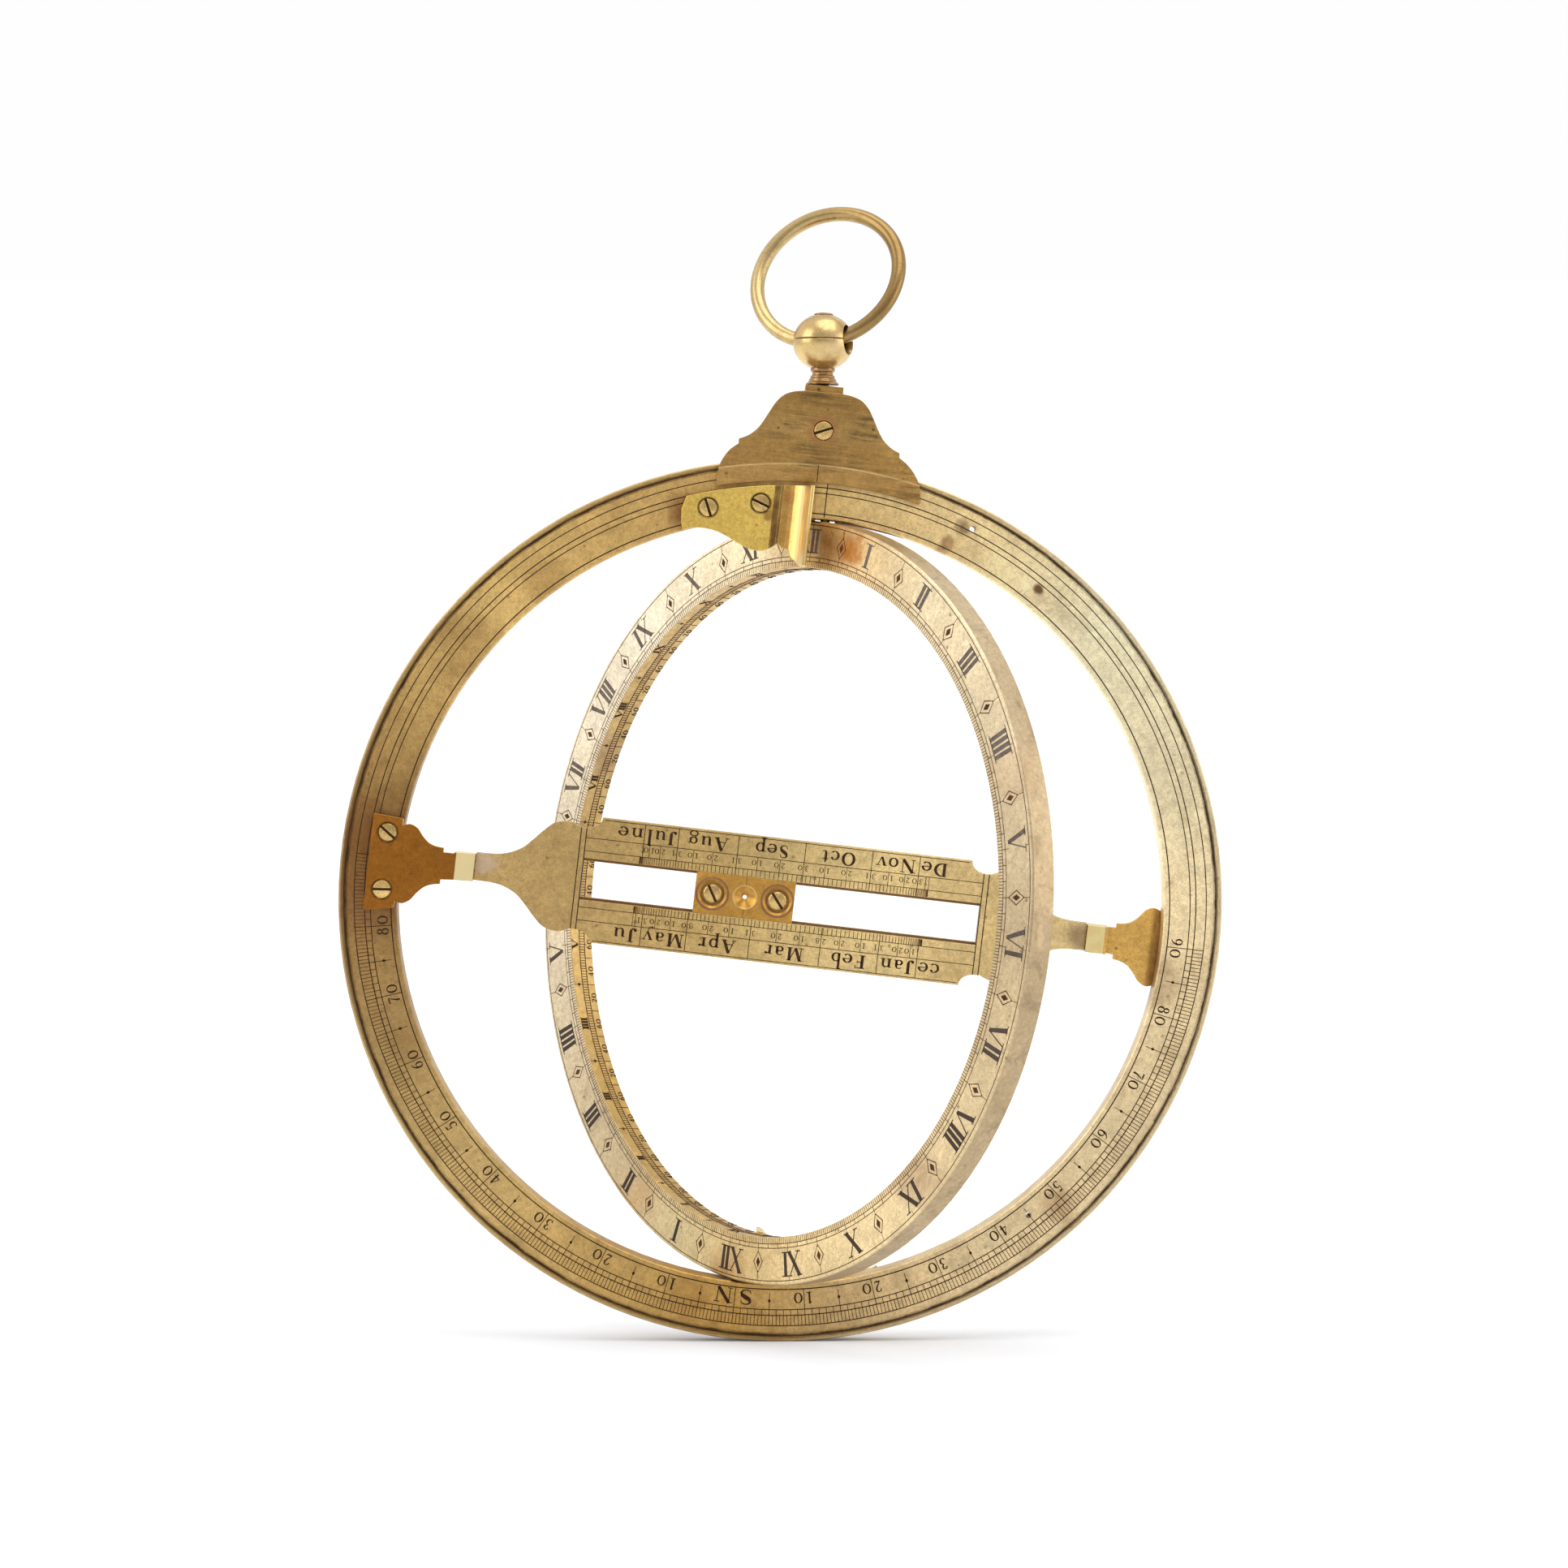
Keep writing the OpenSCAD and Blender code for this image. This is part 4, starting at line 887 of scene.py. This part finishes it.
# ---------------------------------------------------------------- camera
YAW, PITCH, ROLL = 0.0174, 0.0333, 0.1162
DIST, OX, OZ, FOCAL, UNIT = 9.7469, -0.0086, -0.302, 4659.25, 0.1009
W = (Matrix.Rotation(ROLL, 3, "Y") @ Matrix.Rotation(PITCH, 3, "X") @ Matrix.Rotation(YAW, 3, "Z"))
WT = W.transposed()
right, fwd, up = WT @ Vector((1, 0, 0)), WT @ Vector((0, 1, 0)), WT @ Vector((0, 0, 1))
cam_loc = (WT @ Vector((-OX, -DIST, -OZ))) * UNIT
cam = bpy.data.cameras.new("camera")
cam.sensor_width = 36.0
cam.sensor_fit = "HORIZONTAL"
cam.lens = FOCAL * 36.0 / 1932.0
cam.clip_start, cam.clip_end = 0.05, 50.0
co = bpy.data.objects.new("camera", cam)
mw = Matrix.Identity(4)
for i in range(3):
    mw[i][0], mw[i][1], mw[i][2], mw[i][3] = right[i], up[i], -fwd[i], cam_loc[i]
co.matrix_world = mw
bpy.context.scene.collection.objects.link(co)
bpy.context.scene.camera = co

# ---------------------------------------------------------------- floor and light
low = -(MER_RO * math.hypot(up[0], up[2]) + MER_Y * abs(up[1])) * MM
me = bpy.data.meshes.new("floor")
c0 = up * low
ax, ay = right, fwd
pts = []
N = 24
for jy in range(N + 1):
    for jx in range(N + 1):
        u, v = (jx / N - 0.5) * 8.0, (jy / N) * 8.0 - 3.0
        rise = max(0.0, v - 2.2) ** 2 * 0.12
        pts.append(tuple(c0 + ax * u + ay * v + up * rise))
me.from_pydata(pts, [], [(r * (N + 1) + c, r * (N + 1) + c + 1, (r + 1) * (N + 1) + c + 1, (r + 1) * (N + 1) + c) for r in range(N) for c in range(N)])
floor = bpy.data.objects.new("floor", me)
bpy.context.scene.collection.objects.link(floor)
m, nt = nodes_of("floor_white")
k = NT(nt)
out = k.new("ShaderNodeOutputMaterial")
dif = k.new("ShaderNodeBsdfDiffuse")
dif.inputs[0].default_value = (0.768, 0.787, 0.832, 1)
em = k.new("ShaderNodeEmission")
em.inputs[0].default_value = (1, 1, 1, 1)
# the floor in front of the ring falls off a little, the backdrop stays white
fc = k.new("ShaderNodeTexCoord").outputs["Object"]
fd = k.new("ShaderNodeVectorMath", operation="DOT_PRODUCT")
k.link(fc, fd.inputs[0])
fd.inputs[1].default_value = tuple(fwd)
k.link(k.ramp(fd.outputs["Value"], -0.03, 0.20, 0.04, 0.34), em.inputs[1])
add = k.new("ShaderNodeAddShader")
k.link(dif.outputs[0], add.inputs[0])
k.link(em.outputs[0], add.inputs[1])
k.link(add.outputs[0], out.inputs[0])
me.materials.append(m)

world = bpy.data.worlds.new("studio")
bpy.context.scene.world = world
world.use_nodes = True
nt = world.node_tree
for n in list(nt.nodes):
    nt.nodes.remove(n)
k = NT(nt)
out = k.new("ShaderNodeOutputWorld")
tc = k.new("ShaderNodeTexCoord").outputs["Generated"]
sep = k.new("ShaderNodeSeparateXYZ")
k.link(tc, sep.inputs[0])
# dim behind the camera, bright tents left, right and overhead
front = k.ramp(sep.outputs[1], -0.95, -0.15, 0.50, 0.84)
topf = k.ramp(sep.outputs[2], 0.0, 0.8, 0.0, 0.28)
sidef = k.ramp(k.math("ABSOLUTE", sep.outputs[0]), 0.35, 0.95, 0.0, 0.20)
st = k.math("ADD", front, k.math("ADD", topf, sidef))
bg = k.new("ShaderNodeBackground")
k.link(st, bg.inputs[1])
bg.inputs[0].default_value = (1.0, 0.99, 0.97, 1)
bgw = k.new("ShaderNodeBackground")
bgw.inputs[0].default_value = (1, 1, 1, 1)
bgw.inputs[1].default_value = 0.99
lp = k.new("ShaderNodeLightPath")
mx = k.new("ShaderNodeMixShader")
k.link(lp.outputs["Is Camera Ray"], mx.inputs[0])
k.link(bg.outputs[0], mx.inputs[1])
k.link(bgw.outputs[0], mx.inputs[2])
k.link(mx.outputs[0], out.inputs[0])


def area(name, loc, target, size, power, sy=None):
    l = bpy.data.lights.new(name, "AREA")
    l.shape = "RECTANGLE"
    l.size, l.size_y = size, sy or size
    l.energy = power
    o = bpy.data.objects.new(name, l)
    o.location = loc
    o.rotation_euler = (Vector(target) - Vector(loc)).to_track_quat("-Z", "Y").to_euler()
    o.visible_camera = False
    bpy.context.scene.collection.objects.link(o)
    return o


area("top_softbox", (0.1, -0.25, 1.3), (0, 0, 0), 1.1, 7.2)
area("left_softbox", (-1.3, -0.5, 0.5), (0, 0, 0), 0.9, 6.0, 1.2)
area("right_softbox", (1.3, -0.35, 0.3), (0, 0, 0), 0.9, 4.0, 1.2)

sc = bpy.context.scene
sc.view_settings.view_transform = "Standard"
sc.view_settings.look = "None"
sc.view_settings.exposure = 0.0
sc.view_settings.gamma = 1.0
sc.cycles.use_denoising = True
sc.cycles.max_bounces = 8
